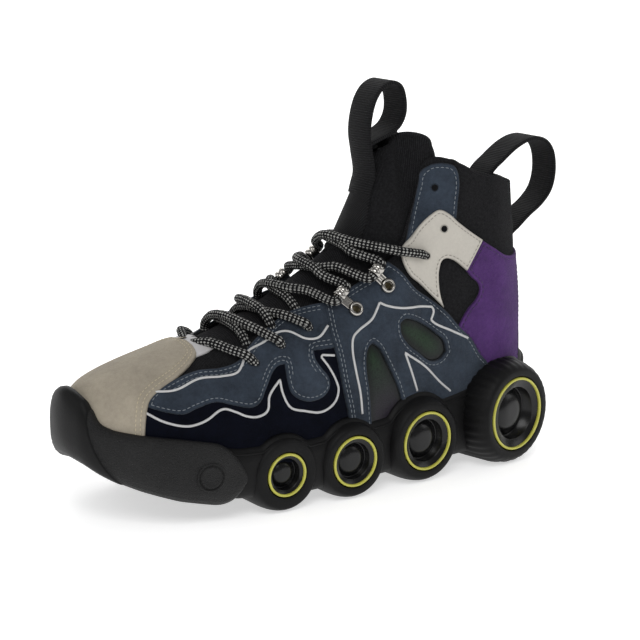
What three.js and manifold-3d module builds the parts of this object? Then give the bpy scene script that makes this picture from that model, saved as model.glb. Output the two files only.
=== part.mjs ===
// A left high-top running shoe, empty and laced, standing on a sole with four pairs of roller-shaped lugs.
// Millimetres, +Z up. Inside the shoe u runs from the heel to the toe, v to the outer side and z up.
import * as THREE from 'three';
import { mergeVertices } from 'three/addons/utils/BufferGeometryUtils.js';
import Module from 'manifold-3d';

const wasm = await Module();
wasm.setup();

// Driving sizes
const LAST_LENGTH = 300;
const HALF_WIDTH = 47;
const SHAFT_HEIGHT = 205;
const SOLE_HEIGHT = 38;
const UPPER_WALL = 2;
const OVERLAY_THICKNESS = 1.3;
const GAP = 0.3;
const TONGUE_THICKNESS = 7;
const COLLAR_PADDING = 6;
const INSOLE_THICKNESS = 4.5;
const SOLE_FLANGE = 5.2;
const TOE_GUARD_FLANGE = 8;
const ROLLER_RADIUS = 29.6;
const ROLLER_SHOULDER = 14;
const TREAD_FLAT = 0.6;
const RING_WIDTH = 1.8;
const RING_DEPTH = 1.6;
const RING_PROUD = 0.4;
const HUB_SHARE = 0.71;
const HUB_RISE = 0.4;
const ROOT_OVERLAP = 4;
const BUTTON_RADIUS = 7;
const BUTTON_HEIGHT = 1;
const LACE_DIAMETER = 5.4;
const EYELET_RADIUS = 2.2;
const WEBBING_WIDTH = 20;
const WEBBING_THICKNESS = 2.2;
const BACKSTAY_WIDTH = 13;
const RIVET_RADIUS = 4.2;
const RIVET_HEIGHT = 3.4;
const HOOK_WIDTH = 5.5;
const HOOK_THICKNESS = 1.2;
const WINDOW_THICKNESS = 0.7;

// Resolution
const STATIONS = 16;
const LEVELS = 5;
const ROLLER_STEPS = 14;
const RING_STEPS = 10;
const RIVET_STEPS = 6;
const HOLE_STEPS = 6;
const LACE_SIDES = 4;

// The last, one row for each rib from the heel round to the toe.
// baseU, topU are shares of LAST_LENGTH; outer, inner, topSide, swell, crown of HALF_WIDTH;
// baseZ of SOLE_HEIGHT; topZ, rise, fall of SHAFT_HEIGHT.
const LAST_ROWS = [
  { baseU: 0.057, outer: 0.00, inner: 0.00, baseZ: 1.00, topU: 0.079, topSide: 0.00,
    topZ: 1.000, swell: 0.03, rise: 0.20, crown: 0.00, fall: 0.30 },
  { baseU: 0.069, outer: 0.36, inner: 0.35, baseZ: 1.00, topU: 0.094, topSide: 0.34,
    topZ: 1.000, swell: 0.05, rise: 0.20, crown: 0.00, fall: 0.30 },
  { baseU: 0.104, outer: 0.62, inner: 0.59, baseZ: 0.98, topU: 0.132, topSide: 0.59,
    topZ: 1.000, swell: 0.07, rise: 0.20, crown: 0.00, fall: 0.30 },
  { baseU: 0.158, outer: 0.76, inner: 0.67, baseZ: 0.94, topU: 0.182, topSide: 0.70,
    topZ: 1.000, swell: 0.07, rise: 0.22, crown: 0.00, fall: 0.30 },
  { baseU: 0.230, outer: 0.80, inner: 0.65, baseZ: 0.87, topU: 0.240, topSide: 0.69,
    topZ: 1.000, swell: 0.06, rise: 0.24, crown: 0.00, fall: 0.30 },
  { baseU: 0.302, outer: 0.84, inner: 0.64, baseZ: 0.80, topU: 0.296, topSide: 0.52,
    topZ: 1.000, swell: 0.05, rise: 0.26, crown: 0.00, fall: 0.30 },
  { baseU: 0.365, outer: 0.88, inner: 0.67, baseZ: 0.74, topU: 0.335, topSide: 0.00,
    topZ: 1.000, swell: 0.05, rise: 0.26, crown: 0.35, fall: 0.14 },
  { baseU: 0.430, outer: 0.92, inner: 0.73, baseZ: 0.70, topU: 0.392, topSide: 0.00,
    topZ: 0.830, swell: 0.05, rise: 0.22, crown: 0.40, fall: 0.05 },
  { baseU: 0.500, outer: 0.96, inner: 0.82, baseZ: 0.67, topU: 0.450, topSide: 0.00,
    topZ: 0.657, swell: 0.05, rise: 0.18, crown: 0.48, fall: 0.02 },
  { baseU: 0.580, outer: 0.99, inner: 0.92, baseZ: 0.66, topU: 0.535, topSide: 0.00,
    topZ: 0.563, swell: 0.05, rise: 0.15, crown: 0.56, fall: 0.01 },
  { baseU: 0.660, outer: 1.00, inner: 0.99, baseZ: 0.67, topU: 0.630, topSide: 0.00,
    topZ: 0.487, swell: 0.04, rise: 0.13, crown: 0.62, fall: 0.00 },
  { baseU: 0.740, outer: 0.98, inner: 1.01, baseZ: 0.72, topU: 0.720, topSide: 0.00,
    topZ: 0.436, swell: 0.04, rise: 0.11, crown: 0.64, fall: 0.00 },
  { baseU: 0.820, outer: 0.90, inner: 0.98, baseZ: 0.84, topU: 0.805, topSide: -0.01,
    topZ: 0.407, swell: 0.04, rise: 0.09, crown: 0.62, fall: 0.00 },
  { baseU: 0.890, outer: 0.74, inner: 0.87, baseZ: 1.02, topU: 0.876, topSide: -0.03,
    topZ: 0.377, swell: 0.04, rise: 0.07, crown: 0.52, fall: 0.00 },
  { baseU: 0.942, outer: 0.48, inner: 0.63, baseZ: 1.18, topU: 0.928, topSide: -0.05,
    topZ: 0.358, swell: 0.04, rise: 0.05, crown: 0.33, fall: 0.00 },
  { baseU: 0.974, outer: 0.19, inner: 0.33, baseZ: 1.29, topU: 0.958, topSide: -0.06,
    topZ: 0.340, swell: 0.04, rise: 0.03, crown: 0.17, fall: 0.00 },
  { baseU: 0.981, outer: -0.06, inner: 0.06, baseZ: 1.32, topU: 0.965, topSide: -0.06,
    topZ: 0.336, swell: 0.04, rise: 0.03, crown: 0.12, fall: 0.00 },
];
const RIDGE_ROW = 6;
const SIDE_COLUMNS = ['outer', 'inner', 'topSide'];

// Heights of the sole by its length: u is a share of LAST_LENGTH, the others of SOLE_HEIGHT.
// under is the arch between the rollers, web the rim between them, wall the side before the rim is cut,
// guard and guardUnder the toe guard.
const SOLE_ROWS = [
  { u: 0.000, under: 0.80, web: 1.60, wall: 2.00, guard: 1.00, guardUnder: 0.19 },
  { u: 0.040, under: 0.40, web: 1.58, wall: 2.00, guard: 1.00, guardUnder: 0.19 },
  { u: 0.080, under: 0.19, web: 1.45, wall: 2.00, guard: 1.00, guardUnder: 0.19 },
  { u: 0.270, under: 0.17, web: 1.19, wall: 1.80, guard: 1.00, guardUnder: 0.19 },
  { u: 0.450, under: 0.17, web: 1.02, wall: 1.50, guard: 1.00, guardUnder: 0.19 },
  { u: 0.620, under: 0.17, web: 0.95, wall: 1.40, guard: 1.02, guardUnder: 0.19 },
  { u: 0.760, under: 0.26, web: 1.00, wall: 1.02, guard: 1.06, guardUnder: 0.17 },
  { u: 0.870, under: 0.46, web: 1.18, wall: 1.18, guard: 1.23, guardUnder: 0.35 },
  { u: 0.930, under: 0.62, web: 1.24, wall: 1.24, guard: 1.30, guardUnder: 0.51 },
  { u: 0.965, under: 0.74, web: 1.29, wall: 1.29, guard: 1.35, guardUnder: 0.63 },
  { u: 0.985, under: 0.84, web: 1.36, wall: 1.36, guard: 1.43, guardUnder: 0.73 },
  { u: 0.998, under: 0.92, web: 1.60, wall: 1.60, guard: 1.74, guardUnder: 0.81 },
  { u: 1.008, under: 0.98, web: 1.70, wall: 1.70, guard: 1.86, guardUnder: 0.87 },
];

// The rings of a sole wall from its underside to its lip.
// inset is in millimetres from the outline, part the share of the wall's height.
const WALL_RINGS = [
  { inset: 9.0, part: 0.00 },
  { inset: 2.5, part: 0.14 },
  { inset: 0.0, part: 0.38 },
  { inset: 0.0, part: 0.74 },
  { inset: 2.2, part: 0.92 },
  { inset: 5.5, part: 1.00 },
];

// The rollers: u is a share of LAST_LENGTH, radius of ROLLER_RADIUS, outer and inner faces of HALF_WIDTH,
// ring a share of the roller's radius, hub the depth of its bore and hood its height over the roller in
// millimetres, turn in degrees toward the back.
const ROLLERS = [
  { u: 0.668, radius: 0.710, outer: 1.12, inner: 1.12, ring: 0.56, hub: 1.2, hood: 0.5, turn: 0 },
  { u: 0.527, radius: 0.723, outer: 1.15, inner: 1.04, ring: 0.65, hub: 2.6, hood: 1.5, turn: 0 },
  { u: 0.363, radius: 0.815, outer: 1.11, inner: 0.95, ring: 0.68, hub: 3.6, hood: 2.5, turn: 3 },
  { u: 0.154, radius: 1.000, outer: 1.11, inner: 1.06, ring: 0.70, hub: 5.0, hood: 2.5, turn: 11 },
];

// A roller's section near its face: radius is a share of its radius and back a share of ROLLER_SHOULDER.
const ROLLER_SECTION = [
  { radius: 1.000, back: 1.00 },
  { radius: 0.970, back: 0.50 },
  { radius: 0.890, back: 0.16 },
  { radius: 0.800, back: 0.00 },
];

// Outlines in the side view: u as shares of LAST_LENGTH and z as shares of SHAFT_HEIGHT.
const THROAT_LINE = [
  [0.775, 0.60], [0.762, 0.47], [0.738, 0.425], [0.712, 0.407], [0.683, 0.420], [0.633, 0.457],
  [0.593, 0.483], [0.523, 0.500], [0.490, 0.520], [0.450, 0.548], [0.420, 0.572], [0.383, 0.604],
  [0.363, 0.642], [0.330, 0.717], [0.315, 0.790], [0.306, 0.838],
];
const COLLAR_LINE = [
  [0.296, 0.850], [0.270, 0.846], [0.235, 0.822], [0.207, 0.800], [0.167, 0.783], [0.110, 0.763],
  [0.040, 0.757],
];
const TOE_CAP_REAR = [
  [0.770, 0.600], [0.770, 0.440], [0.777, 0.410], [0.793, 0.394], [0.837, 0.362],
  [0.870, 0.340], [0.893, 0.316], [0.903, 0.290], [0.912, 0.240], [0.914, 0.120],
];
const THROAT_TAB = [
  [0.785, 0.560], [0.765, 0.470], [0.745, 0.425], [0.742, 0.414], [0.760, 0.405], [0.786, 0.398],
  [0.800, 0.400], [0.805, 0.500],
];
const VAMP_TOP = [
  [0.893, 0.322], [0.880, 0.336], [0.847, 0.356], [0.797, 0.374], [0.750, 0.376], [0.717, 0.386],
  [0.683, 0.418], [0.633, 0.457], [0.593, 0.483], [0.528, 0.500],
];
const VAMP_LOW = [
  [0.534, 0.390], [0.575, 0.390], [0.576, 0.372], [0.568, 0.348], [0.556, 0.318], [0.560, 0.292],
  [0.580, 0.273], [0.613, 0.273], [0.636, 0.296], [0.640, 0.325], [0.637, 0.368], [0.652, 0.364],
  [0.683, 0.317], [0.700, 0.287], [0.717, 0.278], [0.747, 0.288], [0.780, 0.302], [0.817, 0.293],
  [0.843, 0.283], [0.873, 0.292], [0.897, 0.305],
];
const RAND_PANEL = [
  [0.930, 0.330], [0.830, 0.320], [0.720, 0.310], [0.655, 0.385], [0.570, 0.400], [0.531, 0.400],
  [0.524, 0.120], [0.930, 0.120],
];
const QUARTER_SEAM = [
  [0.531, 0.502], [0.537, 0.430], [0.534, 0.370], [0.532, 0.300], [0.526, 0.220], [0.524, 0.120],
];
const QUARTER_TOP = [
  [0.190, 0.190], [0.190, 0.273], [0.213, 0.312], [0.233, 0.356], [0.260, 0.395], [0.290, 0.444],
  [0.323, 0.483], [0.353, 0.517], [0.380, 0.566], [0.400, 0.590], [0.420, 0.572], [0.450, 0.548],
  [0.490, 0.520],
];
const FRONT_WINDOW = [
  [0.470, 0.100], [0.475, 0.205], [0.476, 0.325], [0.473, 0.355], [0.465, 0.380], [0.456, 0.388],
  [0.445, 0.375], [0.433, 0.340], [0.411, 0.270], [0.401, 0.218], [0.392, 0.160], [0.390, 0.100],
];
const REAR_WINDOW = [
  [0.382, 0.437], [0.362, 0.431], [0.337, 0.412], [0.316, 0.388], [0.299, 0.364], [0.294, 0.335],
  [0.307, 0.318], [0.330, 0.317], [0.358, 0.347], [0.380, 0.374], [0.393, 0.404], [0.393, 0.427],
];
const WING = [
  [0.280, 0.705], [0.293, 0.713], [0.305, 0.704], [0.339, 0.653], [0.371, 0.621], [0.373, 0.590],
  [0.361, 0.550], [0.318, 0.489], [0.295, 0.453], [0.301, 0.530], [0.300, 0.554], [0.284, 0.584],
  [0.243, 0.545], [0.205, 0.622], [0.257, 0.675],
];
const COUNTER = [
  [0.243, 0.545], [0.203, 0.620], [0.172, 0.593], [0.123, 0.563], [0.010, 0.576], [0.010, 0.160],
  [0.184, 0.160], [0.184, 0.268], [0.252, 0.395], [0.239, 0.440], [0.221, 0.460], [0.211, 0.481],
  [0.213, 0.502], [0.229, 0.523],
];
const COLLAR_TAB = [
  [0.370, 0.600], [0.330, 0.717], [0.318, 0.780], [0.313, 0.815], [0.300, 0.832], [0.280, 0.835],
  [0.262, 0.826],
  [0.254, 0.800], [0.257, 0.730], [0.267, 0.660],
];
const BACKSTAY = [[-0.02, 0.180], [0.120, 0.180], [0.120, 0.500], [-0.02, 0.500]];
const TONGUE_OUTLINE = [
  [0.800, 0.600], [0.800, 0.370], [0.710, 0.335], [0.633, 0.380], [0.533, 0.425], [0.467, 0.460],
  [0.407, 0.500], [0.347, 0.550], [0.307, 0.630], [0.288, 0.740], [0.284, 0.820], [0.290, 0.875],
  [0.304, 0.908], [0.328, 0.910], [0.350, 0.885], [0.375, 0.868], [0.450, 0.868], [0.550, 0.800],
];
const COLLAR_LINING_LOW = [[0.262, 0.730], [0.250, 0.610], [0.000, 0.560]];
const BUTTON_PLACE = [0.812, 0.70];

// The lace's rows from the toe to the ankle: the eyelet, hook tunnel or end hole on the side, as a place in
// the side view, and where the strands from the row below cross on the ridge, as a share of LAST_LENGTH.
const LACE_ROWS = [
  { eye: [0.687, 0.371], cross: 0.750, hooked: false },
  { eye: [0.630, 0.405], cross: 0.682, hooked: false },
  { eye: [0.570, 0.439], cross: 0.633, hooked: false },
  { eye: [0.500, 0.506], cross: 0.580, hooked: true },
  { eye: [0.431, 0.561], cross: 0.518, hooked: true },
  { eye: [0.317, 0.590], cross: 0.458, hooked: false },
];
const RIVETS = [[0.476, 0.472], [0.409, 0.525]];
const HOLES = [[0.687, 0.371], [0.630, 0.405], [0.570, 0.439], [0.317, 0.590]];

// The middle lines of the two webbing loops in the side view. The sewn ends lie on the tongue and on the heel,
// at heights that are shares of SHAFT_HEIGHT, and the free parts are in the same shares as the outlines.
const TONGUE_LOOP = {
  sewn: [0.690, 0.730, 0.770, 0.805],
  rise: [
    [0.397, 0.865], [0.400, 0.910], [0.395, 0.960], [0.383, 1.005], [0.366, 1.033], [0.345, 1.045],
    [0.327, 1.035], [0.318, 1.005],
  ],
  fall: [
    [0.345, 1.045], [0.327, 1.035], [0.318, 1.005], [0.317, 0.962], [0.328, 0.930], [0.348, 0.910],
    [0.372, 0.897], [0.395, 0.885],
  ],
};
const HEEL_LOOP = {
  sewn: [0.520, 0.560, 0.590],
  free: [
    [0.045, 0.612], [0.018, 0.643], [-0.012, 0.672], [-0.034, 0.708], [-0.043, 0.760], [-0.037, 0.818],
    [-0.020, 0.848], [0.002, 0.858], [0.024, 0.855], [0.046, 0.843], [0.066, 0.826], [0.086, 0.805],
    [0.105, 0.785], [0.117, 0.763],
  ],
  inside: [0.735, 0.690, 0.650],
};

// Scalars and curves

function steadySlope(before, after) {
  return before * after <= 0 ? 0 : (2 * before * after) / (before + after);
}

function ease(x, from, to, slopeFrom, slopeTo) {
  const x2 = x * x;
  const x3 = x2 * x;
  const stay = (2 * x3 - 3 * x2 + 1) * from + (3 * x2 - 2 * x3) * to;
  return stay + (x3 - 2 * x2 + x) * slopeFrom + (x3 - x2) * slopeTo;
}

// A value of LAST_ROWS between its rows. Past either end the rows are mirrored, so that both sides of the shoe
// join smoothly.
function lastValue(column, t) {
  const last = LAST_ROWS.length - 1;
  const i = Math.min(Math.floor(t), last - 1);
  const mirrored = (end, k) => {
    const twin = LAST_ROWS[k][column];
    return SIDE_COLUMNS.includes(column) ? 2 * LAST_ROWS[end][column] - twin : twin;
  };
  const at = (k) => {
    if (k < 0) return mirrored(0, -k);
    if (k > last) return mirrored(last, 2 * last - k);
    return LAST_ROWS[k][column];
  };
  const slopeFrom = steadySlope(at(i) - at(i - 1), at(i + 1) - at(i));
  const slopeTo = steadySlope(at(i + 1) - at(i), at(i + 2) - at(i + 1));
  return ease(t - i, at(i), at(i + 1), slopeFrom, slopeTo);
}

// A column of SOLE_ROWS at a length u, straight between its rows, in millimetres.
function soleHeight(column, u) {
  const share = u / LAST_LENGTH;
  const next = SOLE_ROWS.findIndex((row) => row.u > share);
  if (next === 0) return SOLE_ROWS[0][column] * SOLE_HEIGHT;
  if (next < 0) return SOLE_ROWS[SOLE_ROWS.length - 1][column] * SOLE_HEIGHT;
  const from = SOLE_ROWS[next - 1];
  const to = SOLE_ROWS[next];
  const part = (share - from.u) / (to.u - from.u);
  return THREE.MathUtils.lerp(from[column], to[column], part) * SOLE_HEIGHT;
}

const inPlace = ([u, z]) => new THREE.Vector2(u * LAST_LENGTH, z * SHAFT_HEIGHT);

// Solids

function toSolid(geometry) {
  const bare = geometry.clone();
  bare.deleteAttribute('normal');
  bare.deleteAttribute('uv');
  const merged = mergeVertices(bare, 1e-4);
  const places = merged.attributes.position.array;
  const corners = [];
  for (let k = 0; k < merged.index.count; k += 3) {
    const [a, b, c] = [merged.index.getX(k), merged.index.getX(k + 1), merged.index.getX(k + 2)];
    if (a !== b && b !== c && c !== a) corners.push(a, b, c);
  }
  const point = (k) => new THREE.Vector3(places[3 * k], places[3 * k + 1], places[3 * k + 2]);
  let volume = 0;
  for (let k = 0; k < corners.length; k += 3) {
    volume += point(corners[k]).dot(point(corners[k + 1]).cross(point(corners[k + 2])));
  }
  if (volume < 0) corners.reverse();
  return new wasm.Manifold(new wasm.Mesh({
    numProp: 3,
    vertProperties: new Float32Array(places),
    triVerts: new Uint32Array(corners),
  }));
}

function toGeometry(solid) {
  const mesh = solid.getMesh();
  const geometry = new THREE.BufferGeometry();
  geometry.setAttribute('position', new THREE.BufferAttribute(new Float32Array(mesh.vertProperties), 3));
  geometry.setIndex(new THREE.BufferAttribute(new Uint32Array(mesh.triVerts), 1));
  return geometry;
}

// The largest of the bodies that a cut leaves, so that no crumb stays beside it.
function largestBody(solid) {
  const bodies = solid.decompose();
  return bodies.reduce((best, body) => (body.volume() > best.volume() ? body : best), bodies[0] ?? solid);
}

// A prism across the shoe from a side-view outline in millimetres, grown by a margin.
function sidePrism(points, vFrom, vTo, grow = 0) {
  const area = THREE.ShapeUtils.area(points);
  const turned = points.map((point, k) => {
    const before = points[(k + points.length - 1) % points.length];
    const after = points[(k + 1) % points.length];
    const along = after.clone().sub(before).normalize();
    return new THREE.Vector2(along.y, -along.x).multiplyScalar(grow * Math.sign(area)).add(point);
  });
  const shape = new THREE.Shape(turned);
  const geometry = new THREE.ExtrudeGeometry(shape, { depth: vTo - vFrom, bevelEnabled: false });
  geometry.rotateX(Math.PI / 2).translate(0, vTo, 0);
  return toSolid(geometry);
}

const REACH = 3 * HALF_WIDTH;
const MID_SPLIT = 0.5;

// The prism of a panel that lies on the outer side (side 1), the inner side (side -1) or both (side 0).
function panelPrism(shares, side, grow = 0) {
  const points = shares.map(inPlace);
  if (side === 0) return sidePrism(points, -REACH, REACH, grow);
  return side > 0 ? sidePrism(points, MID_SPLIT, REACH, grow) : sidePrism(points, -REACH, -MID_SPLIT, grow);
}

// The last

function basePoint(t, side) {
  const half = side > 0 ? lastValue('outer', t) : -lastValue('inner', t);
  const [u, z] = [lastValue('baseU', t) * LAST_LENGTH, lastValue('baseZ', t) * SOLE_HEIGHT];
  return new THREE.Vector3(u, half * HALF_WIDTH, z);
}

const LAST_END = LAST_ROWS.length - 1;
const SMALL_STEP = 0.02;

// The outward direction of the last's outline in plan.
function baseNormal(t, side) {
  if (t < SMALL_STEP) return new THREE.Vector3(-1, 0, 0);
  if (t > LAST_END - SMALL_STEP) return new THREE.Vector3(1, 0, 0);
  const along = basePoint(t + SMALL_STEP, side).sub(basePoint(t - SMALL_STEP, side));
  return new THREE.Vector3(-side * along.y, side * along.x, 0).normalize();
}

// A point of the last's skin on rib t, at a share s of the way from the sole to the ridge or the top.
function skinPoint(t, s, side) {
  const foot = basePoint(t, side);
  const out = baseNormal(t, side);
  const onRidge = t >= RIDGE_ROW;
  const topSide = lastValue('topSide', t) * HALF_WIDTH * (onRidge ? 1 : side);
  const topU = lastValue('topU', t) * LAST_LENGTH;
  const top = new THREE.Vector3(topU, topSide, lastValue('topZ', t) * SHAFT_HEIGHT);
  const low = foot.clone().addScaledVector(out, lastValue('swell', t) * HALF_WIDTH);
  low.z += lastValue('rise', t) * SHAFT_HEIGHT;
  const high = top.clone().addScaledVector(out, lastValue('crown', t) * HALF_WIDTH);
  high.z -= lastValue('fall', t) * SHAFT_HEIGHT;
  return new THREE.CubicBezierCurve3(foot, low, high, top).getPoint(s);
}

const RIDGE_STATION = Math.ceil((RIDGE_ROW / LAST_END) * STATIONS);
const ribAt = (i) => {
  if (i < RIDGE_STATION) return (i / RIDGE_STATION) * RIDGE_ROW;
  return RIDGE_ROW + ((i - RIDGE_STATION) / (STATIONS - RIDGE_STATION)) * (LAST_END - RIDGE_ROW);
};

// The skin's grid of points, numbered; both sides share those at the heel, the toe and the ridge.
function buildSkin() {
  const points = [];
  const numbers = new Map();
  const numberOf = (side, i, j) => {
    const shared = i === 0 || i === STATIONS || (j === LEVELS && i >= RIDGE_STATION);
    const key = `${shared ? 0 : side},${i},${j}`;
    if (!numbers.has(key)) {
      numbers.set(key, points.length);
      points.push(skinPoint(ribAt(i), j / LEVELS, side));
    }
    return numbers.get(key);
  };
  const corners = [];
  for (const side of [1, -1]) {
    for (let i = 0; i < STATIONS; i += 1) {
      for (let j = 0; j < LEVELS; j += 1) {
        const near = [numberOf(side, i, j), numberOf(side, i + 1, j)];
        const quad = [...near, numberOf(side, i + 1, j + 1), numberOf(side, i, j + 1)];
        if (side > 0) quad.reverse();
        corners.push(quad[0], quad[1], quad[2], quad[0], quad[2], quad[3]);
      }
    }
  }
  const geometry = new THREE.BufferGeometry().setFromPoints(points);
  geometry.setIndex(corners);
  geometry.computeVertexNormals();
  const { normal } = geometry.attributes;
  const normals = points.map((point, k) => new THREE.Vector3().fromBufferAttribute(normal, k));
  return { points, normals, corners, numberOf };
}

const skin = buildSkin();
const FLOOR_SINK = 12;
const BEYOND_TOE = 1.2;
const BEYOND_HEEL = -0.2;

// A cap between the two sides, from station `from` to station `to`, along one level of the grid.
function capCorners(from, to, level, upward) {
  const corners = [];
  for (let i = from; i < to; i += 1) {
    const outer = [skin.numberOf(1, i, level), skin.numberOf(1, i + 1, level)];
    const quad = [...outer, skin.numberOf(-1, i + 1, level), skin.numberOf(-1, i, level)];
    if (upward) quad.reverse();
    corners.push(quad[0], quad[1], quad[2], quad[0], quad[2], quad[3]);
  }
  return corners;
}

// The closed last, grown by a distance along its normals, with its underside sunk by FLOOR_SINK.
function lastForm(grow) {
  const moved = skin.points.map((point, k) => point.clone().addScaledVector(skin.normals[k], grow));
  for (const side of [1, -1]) {
    for (let i = 0; i <= STATIONS; i += 1) {
      const number = skin.numberOf(side, i, 0);
      moved[number].z = skin.points[number].z - FLOOR_SINK;
    }
  }
  const topCap = capCorners(0, RIDGE_STATION, LEVELS, true);
  const soleCap = capCorners(0, STATIONS, 0, false);
  const geometry = new THREE.BufferGeometry().setFromPoints(moved);
  geometry.setIndex([...skin.corners, ...topCap, ...soleCap]);
  return toSolid(geometry);
}

// The place on the last's skin that shows at (u, z) in the side view, and its outward direction.
function onSkin([uShare, zShare], side) {
  const goal = inPlace([uShare, zShare]);
  const miss = (t, s) => {
    const point = skinPoint(t, s, side);
    return Math.hypot(point.x - goal.x, point.z - goal.y);
  };
  let best = { t: 0, s: 0, error: Infinity };
  let [tSpan, sSpan] = [LAST_END, 1];
  let [tMid, sMid] = [LAST_END / 2, 0.5];
  for (let round = 0; round < 7; round += 1) {
    for (let a = -10; a <= 10; a += 1) {
      for (let b = -10; b <= 10; b += 1) {
        const t = THREE.MathUtils.clamp(tMid + (a / 20) * tSpan, 0, LAST_END);
        const s = THREE.MathUtils.clamp(sMid + (b / 20) * sSpan, 0, 0.98);
        const error = miss(t, s);
        if (error < best.error) best = { t, s, error };
      }
    }
    [tMid, sMid, tSpan, sSpan] = [best.t, best.s, tSpan / 4, sSpan / 4];
  }
  const here = skinPoint(best.t, best.s, side);
  const alongT = skinPoint(Math.min(best.t + SMALL_STEP, LAST_END), best.s, side).sub(here);
  const alongS = skinPoint(best.t, best.s + SMALL_STEP, side).sub(here);
  const out = alongT.cross(alongS).multiplyScalar(-side).normalize();
  return { here, out };
}

// The rib at which a column of LAST_ROWS passes a value, along the ridge.
function ribWhere(column, value) {
  const rising = LAST_ROWS[LAST_END][column] > LAST_ROWS[RIDGE_ROW][column];
  let [low, high] = [RIDGE_ROW, LAST_END];
  for (let round = 0; round < 30; round += 1) {
    const middle = (low + high) / 2;
    if (lastValue(column, middle) < value === rising) low = middle;
    else high = middle;
  }
  return low;
}

// The place on the ridge where topU or topZ has a value, raised by `lift`.
function onRidge(column, value, lift) {
  const t = ribWhere(column, value);
  const here = skinPoint(t, 1, 1);
  const along = skinPoint(Math.min(t + SMALL_STEP, LAST_END), 1, 1).sub(here);
  return here.add(new THREE.Vector3(-along.z, 0, along.x).normalize().multiplyScalar(lift));
}

// The place on the heel's middle line at a height that is a share of SHAFT_HEIGHT, moved back by `lift`.
function onHeel(zShare, lift) {
  let [low, high] = [0, 1];
  for (let round = 0; round < 30; round += 1) {
    const middle = (low + high) / 2;
    if (skinPoint(0, middle, 1).z < zShare * SHAFT_HEIGHT) low = middle;
    else high = middle;
  }
  const here = skinPoint(0, low, 1);
  return here.setX(here.x - lift);
}

// Upper, tongue, lining and insole

const outsideWall = GAP + OVERLAY_THICKNESS;
const behindWall = -UPPER_WALL - GAP;

// The line of the last's underside in the side view, raised by `lift`, from the heel to the toe.
function floorLine(lift) {
  const line = [];
  for (let i = 0; i <= STATIONS; i += 1) {
    const foot = basePoint(ribAt(i), 1);
    line.push(new THREE.Vector2(foot.x, foot.z + lift));
  }
  return line;
}

// A side-view outline's lower boundary along the floor line, past both ends of the shoe.
function longFloor(lift) {
  const line = floorLine(lift);
  const heel = new THREE.Vector2(BEYOND_HEEL * LAST_LENGTH, line[0].y);
  const toe = new THREE.Vector2(BEYOND_TOE * LAST_LENGTH, line[STATIONS].y);
  return [heel, ...line, toe];
}

// All that lies above the sole and below the throat's and the collar's edges.
function openingPrism() {
  const edge = [[BEYOND_TOE, 0.6], ...THROAT_LINE, ...COLLAR_LINE, [BEYOND_HEEL, 0.757]];
  return sidePrism([...edge.map(inPlace), ...longFloor(GAP)], -REACH, REACH);
}

function holePins() {
  const pins = [];
  for (const side of [1, -1]) {
    for (const place of HOLES) {
      const { here, out } = onSkin(place, side);
      const pin = new THREE.CylinderGeometry(EYELET_RADIUS, EYELET_RADIUS, 6 * UPPER_WALL, HOLE_STEPS);
      pin.applyQuaternion(new THREE.Quaternion().setFromUnitVectors(new THREE.Vector3(0, 1, 0), out));
      pin.translate(here.x, here.y, here.z);
      pins.push(toSolid(pin));
    }
  }
  return pins.reduce((all, pin) => all.add(pin));
}

const holes = holePins();
const shoeOpening = openingPrism();

function makeUpper() {
  const wall = lastForm(0).subtract(lastForm(-UPPER_WALL));
  return largestBody(wall.intersect(shoeOpening));
}

function makeTongue() {
  const layer = lastForm(behindWall).subtract(lastForm(behindWall - TONGUE_THICKNESS));
  return largestBody(layer.intersect(panelPrism(TONGUE_OUTLINE, 0)));
}

function makeCollarLining() {
  const layer = lastForm(behindWall).subtract(lastForm(behindWall - COLLAR_PADDING));
  const rim = [...COLLAR_LINE.slice(1), [0, 0.757]];
  return largestBody(layer.intersect(panelPrism([...rim, ...COLLAR_LINING_LOW.toReversed()], 0)));
}

// The insole fills the upper's inside between two lines that follow the last's underside.
function makeInsole() {
  const outline = [...floorLine(GAP + INSOLE_THICKNESS), ...floorLine(GAP).toReversed()];
  return largestBody(lastForm(behindWall).intersect(sidePrism(outline, -REACH, REACH)));
}

// Overlays, each a piece of the layer just outside the upper

const overlayLayer = lastForm(outsideWall).subtract(lastForm(GAP)).intersect(shoeOpening);
const windowLayer = lastForm(GAP + WINDOW_THICKNESS).subtract(lastForm(GAP)).intersect(shoeOpening);
const toeCapOutline = [...TOE_CAP_REAR, [1.1, 0.12], [1.1, 0.60]];
const vampOutline = [...VAMP_TOP, [0.500, 0.500], [0.500, 0.390], ...VAMP_LOW];
const quarterOutline = [...QUARTER_SEAM, [0.190, 0.12], ...QUARTER_TOP];

function overlay(outline, side, above = []) {
  let piece = overlayLayer.intersect(panelPrism(outline, side));
  for (const shape of above) piece = piece.subtract(panelPrism(shape, side, GAP));
  return largestBody(piece.subtract(holes));
}

function makeQuarter(side) {
  return overlay(quarterOutline, side, [WING, FRONT_WINDOW, REAR_WINDOW]);
}

function makeWindow(outline, side) {
  const pane = windowLayer.intersect(panelPrism(outline, side, -GAP));
  return largestBody(pane);
}

function makeCounter(side) {
  const strip = new THREE.BoxGeometry(2 * REACH, BACKSTAY_WIDTH + 2 * GAP, 2 * REACH);
  return largestBody(overlay(COUNTER, side, [WING, quarterOutline]).subtract(toSolid(strip)));
}

function makeBackstay() {
  const strip = new THREE.BoxGeometry(2 * REACH, BACKSTAY_WIDTH, 2 * REACH);
  return largestBody(overlayLayer.intersect(toSolid(strip)).intersect(panelPrism(BACKSTAY, 0)));
}

// Sole

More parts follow.
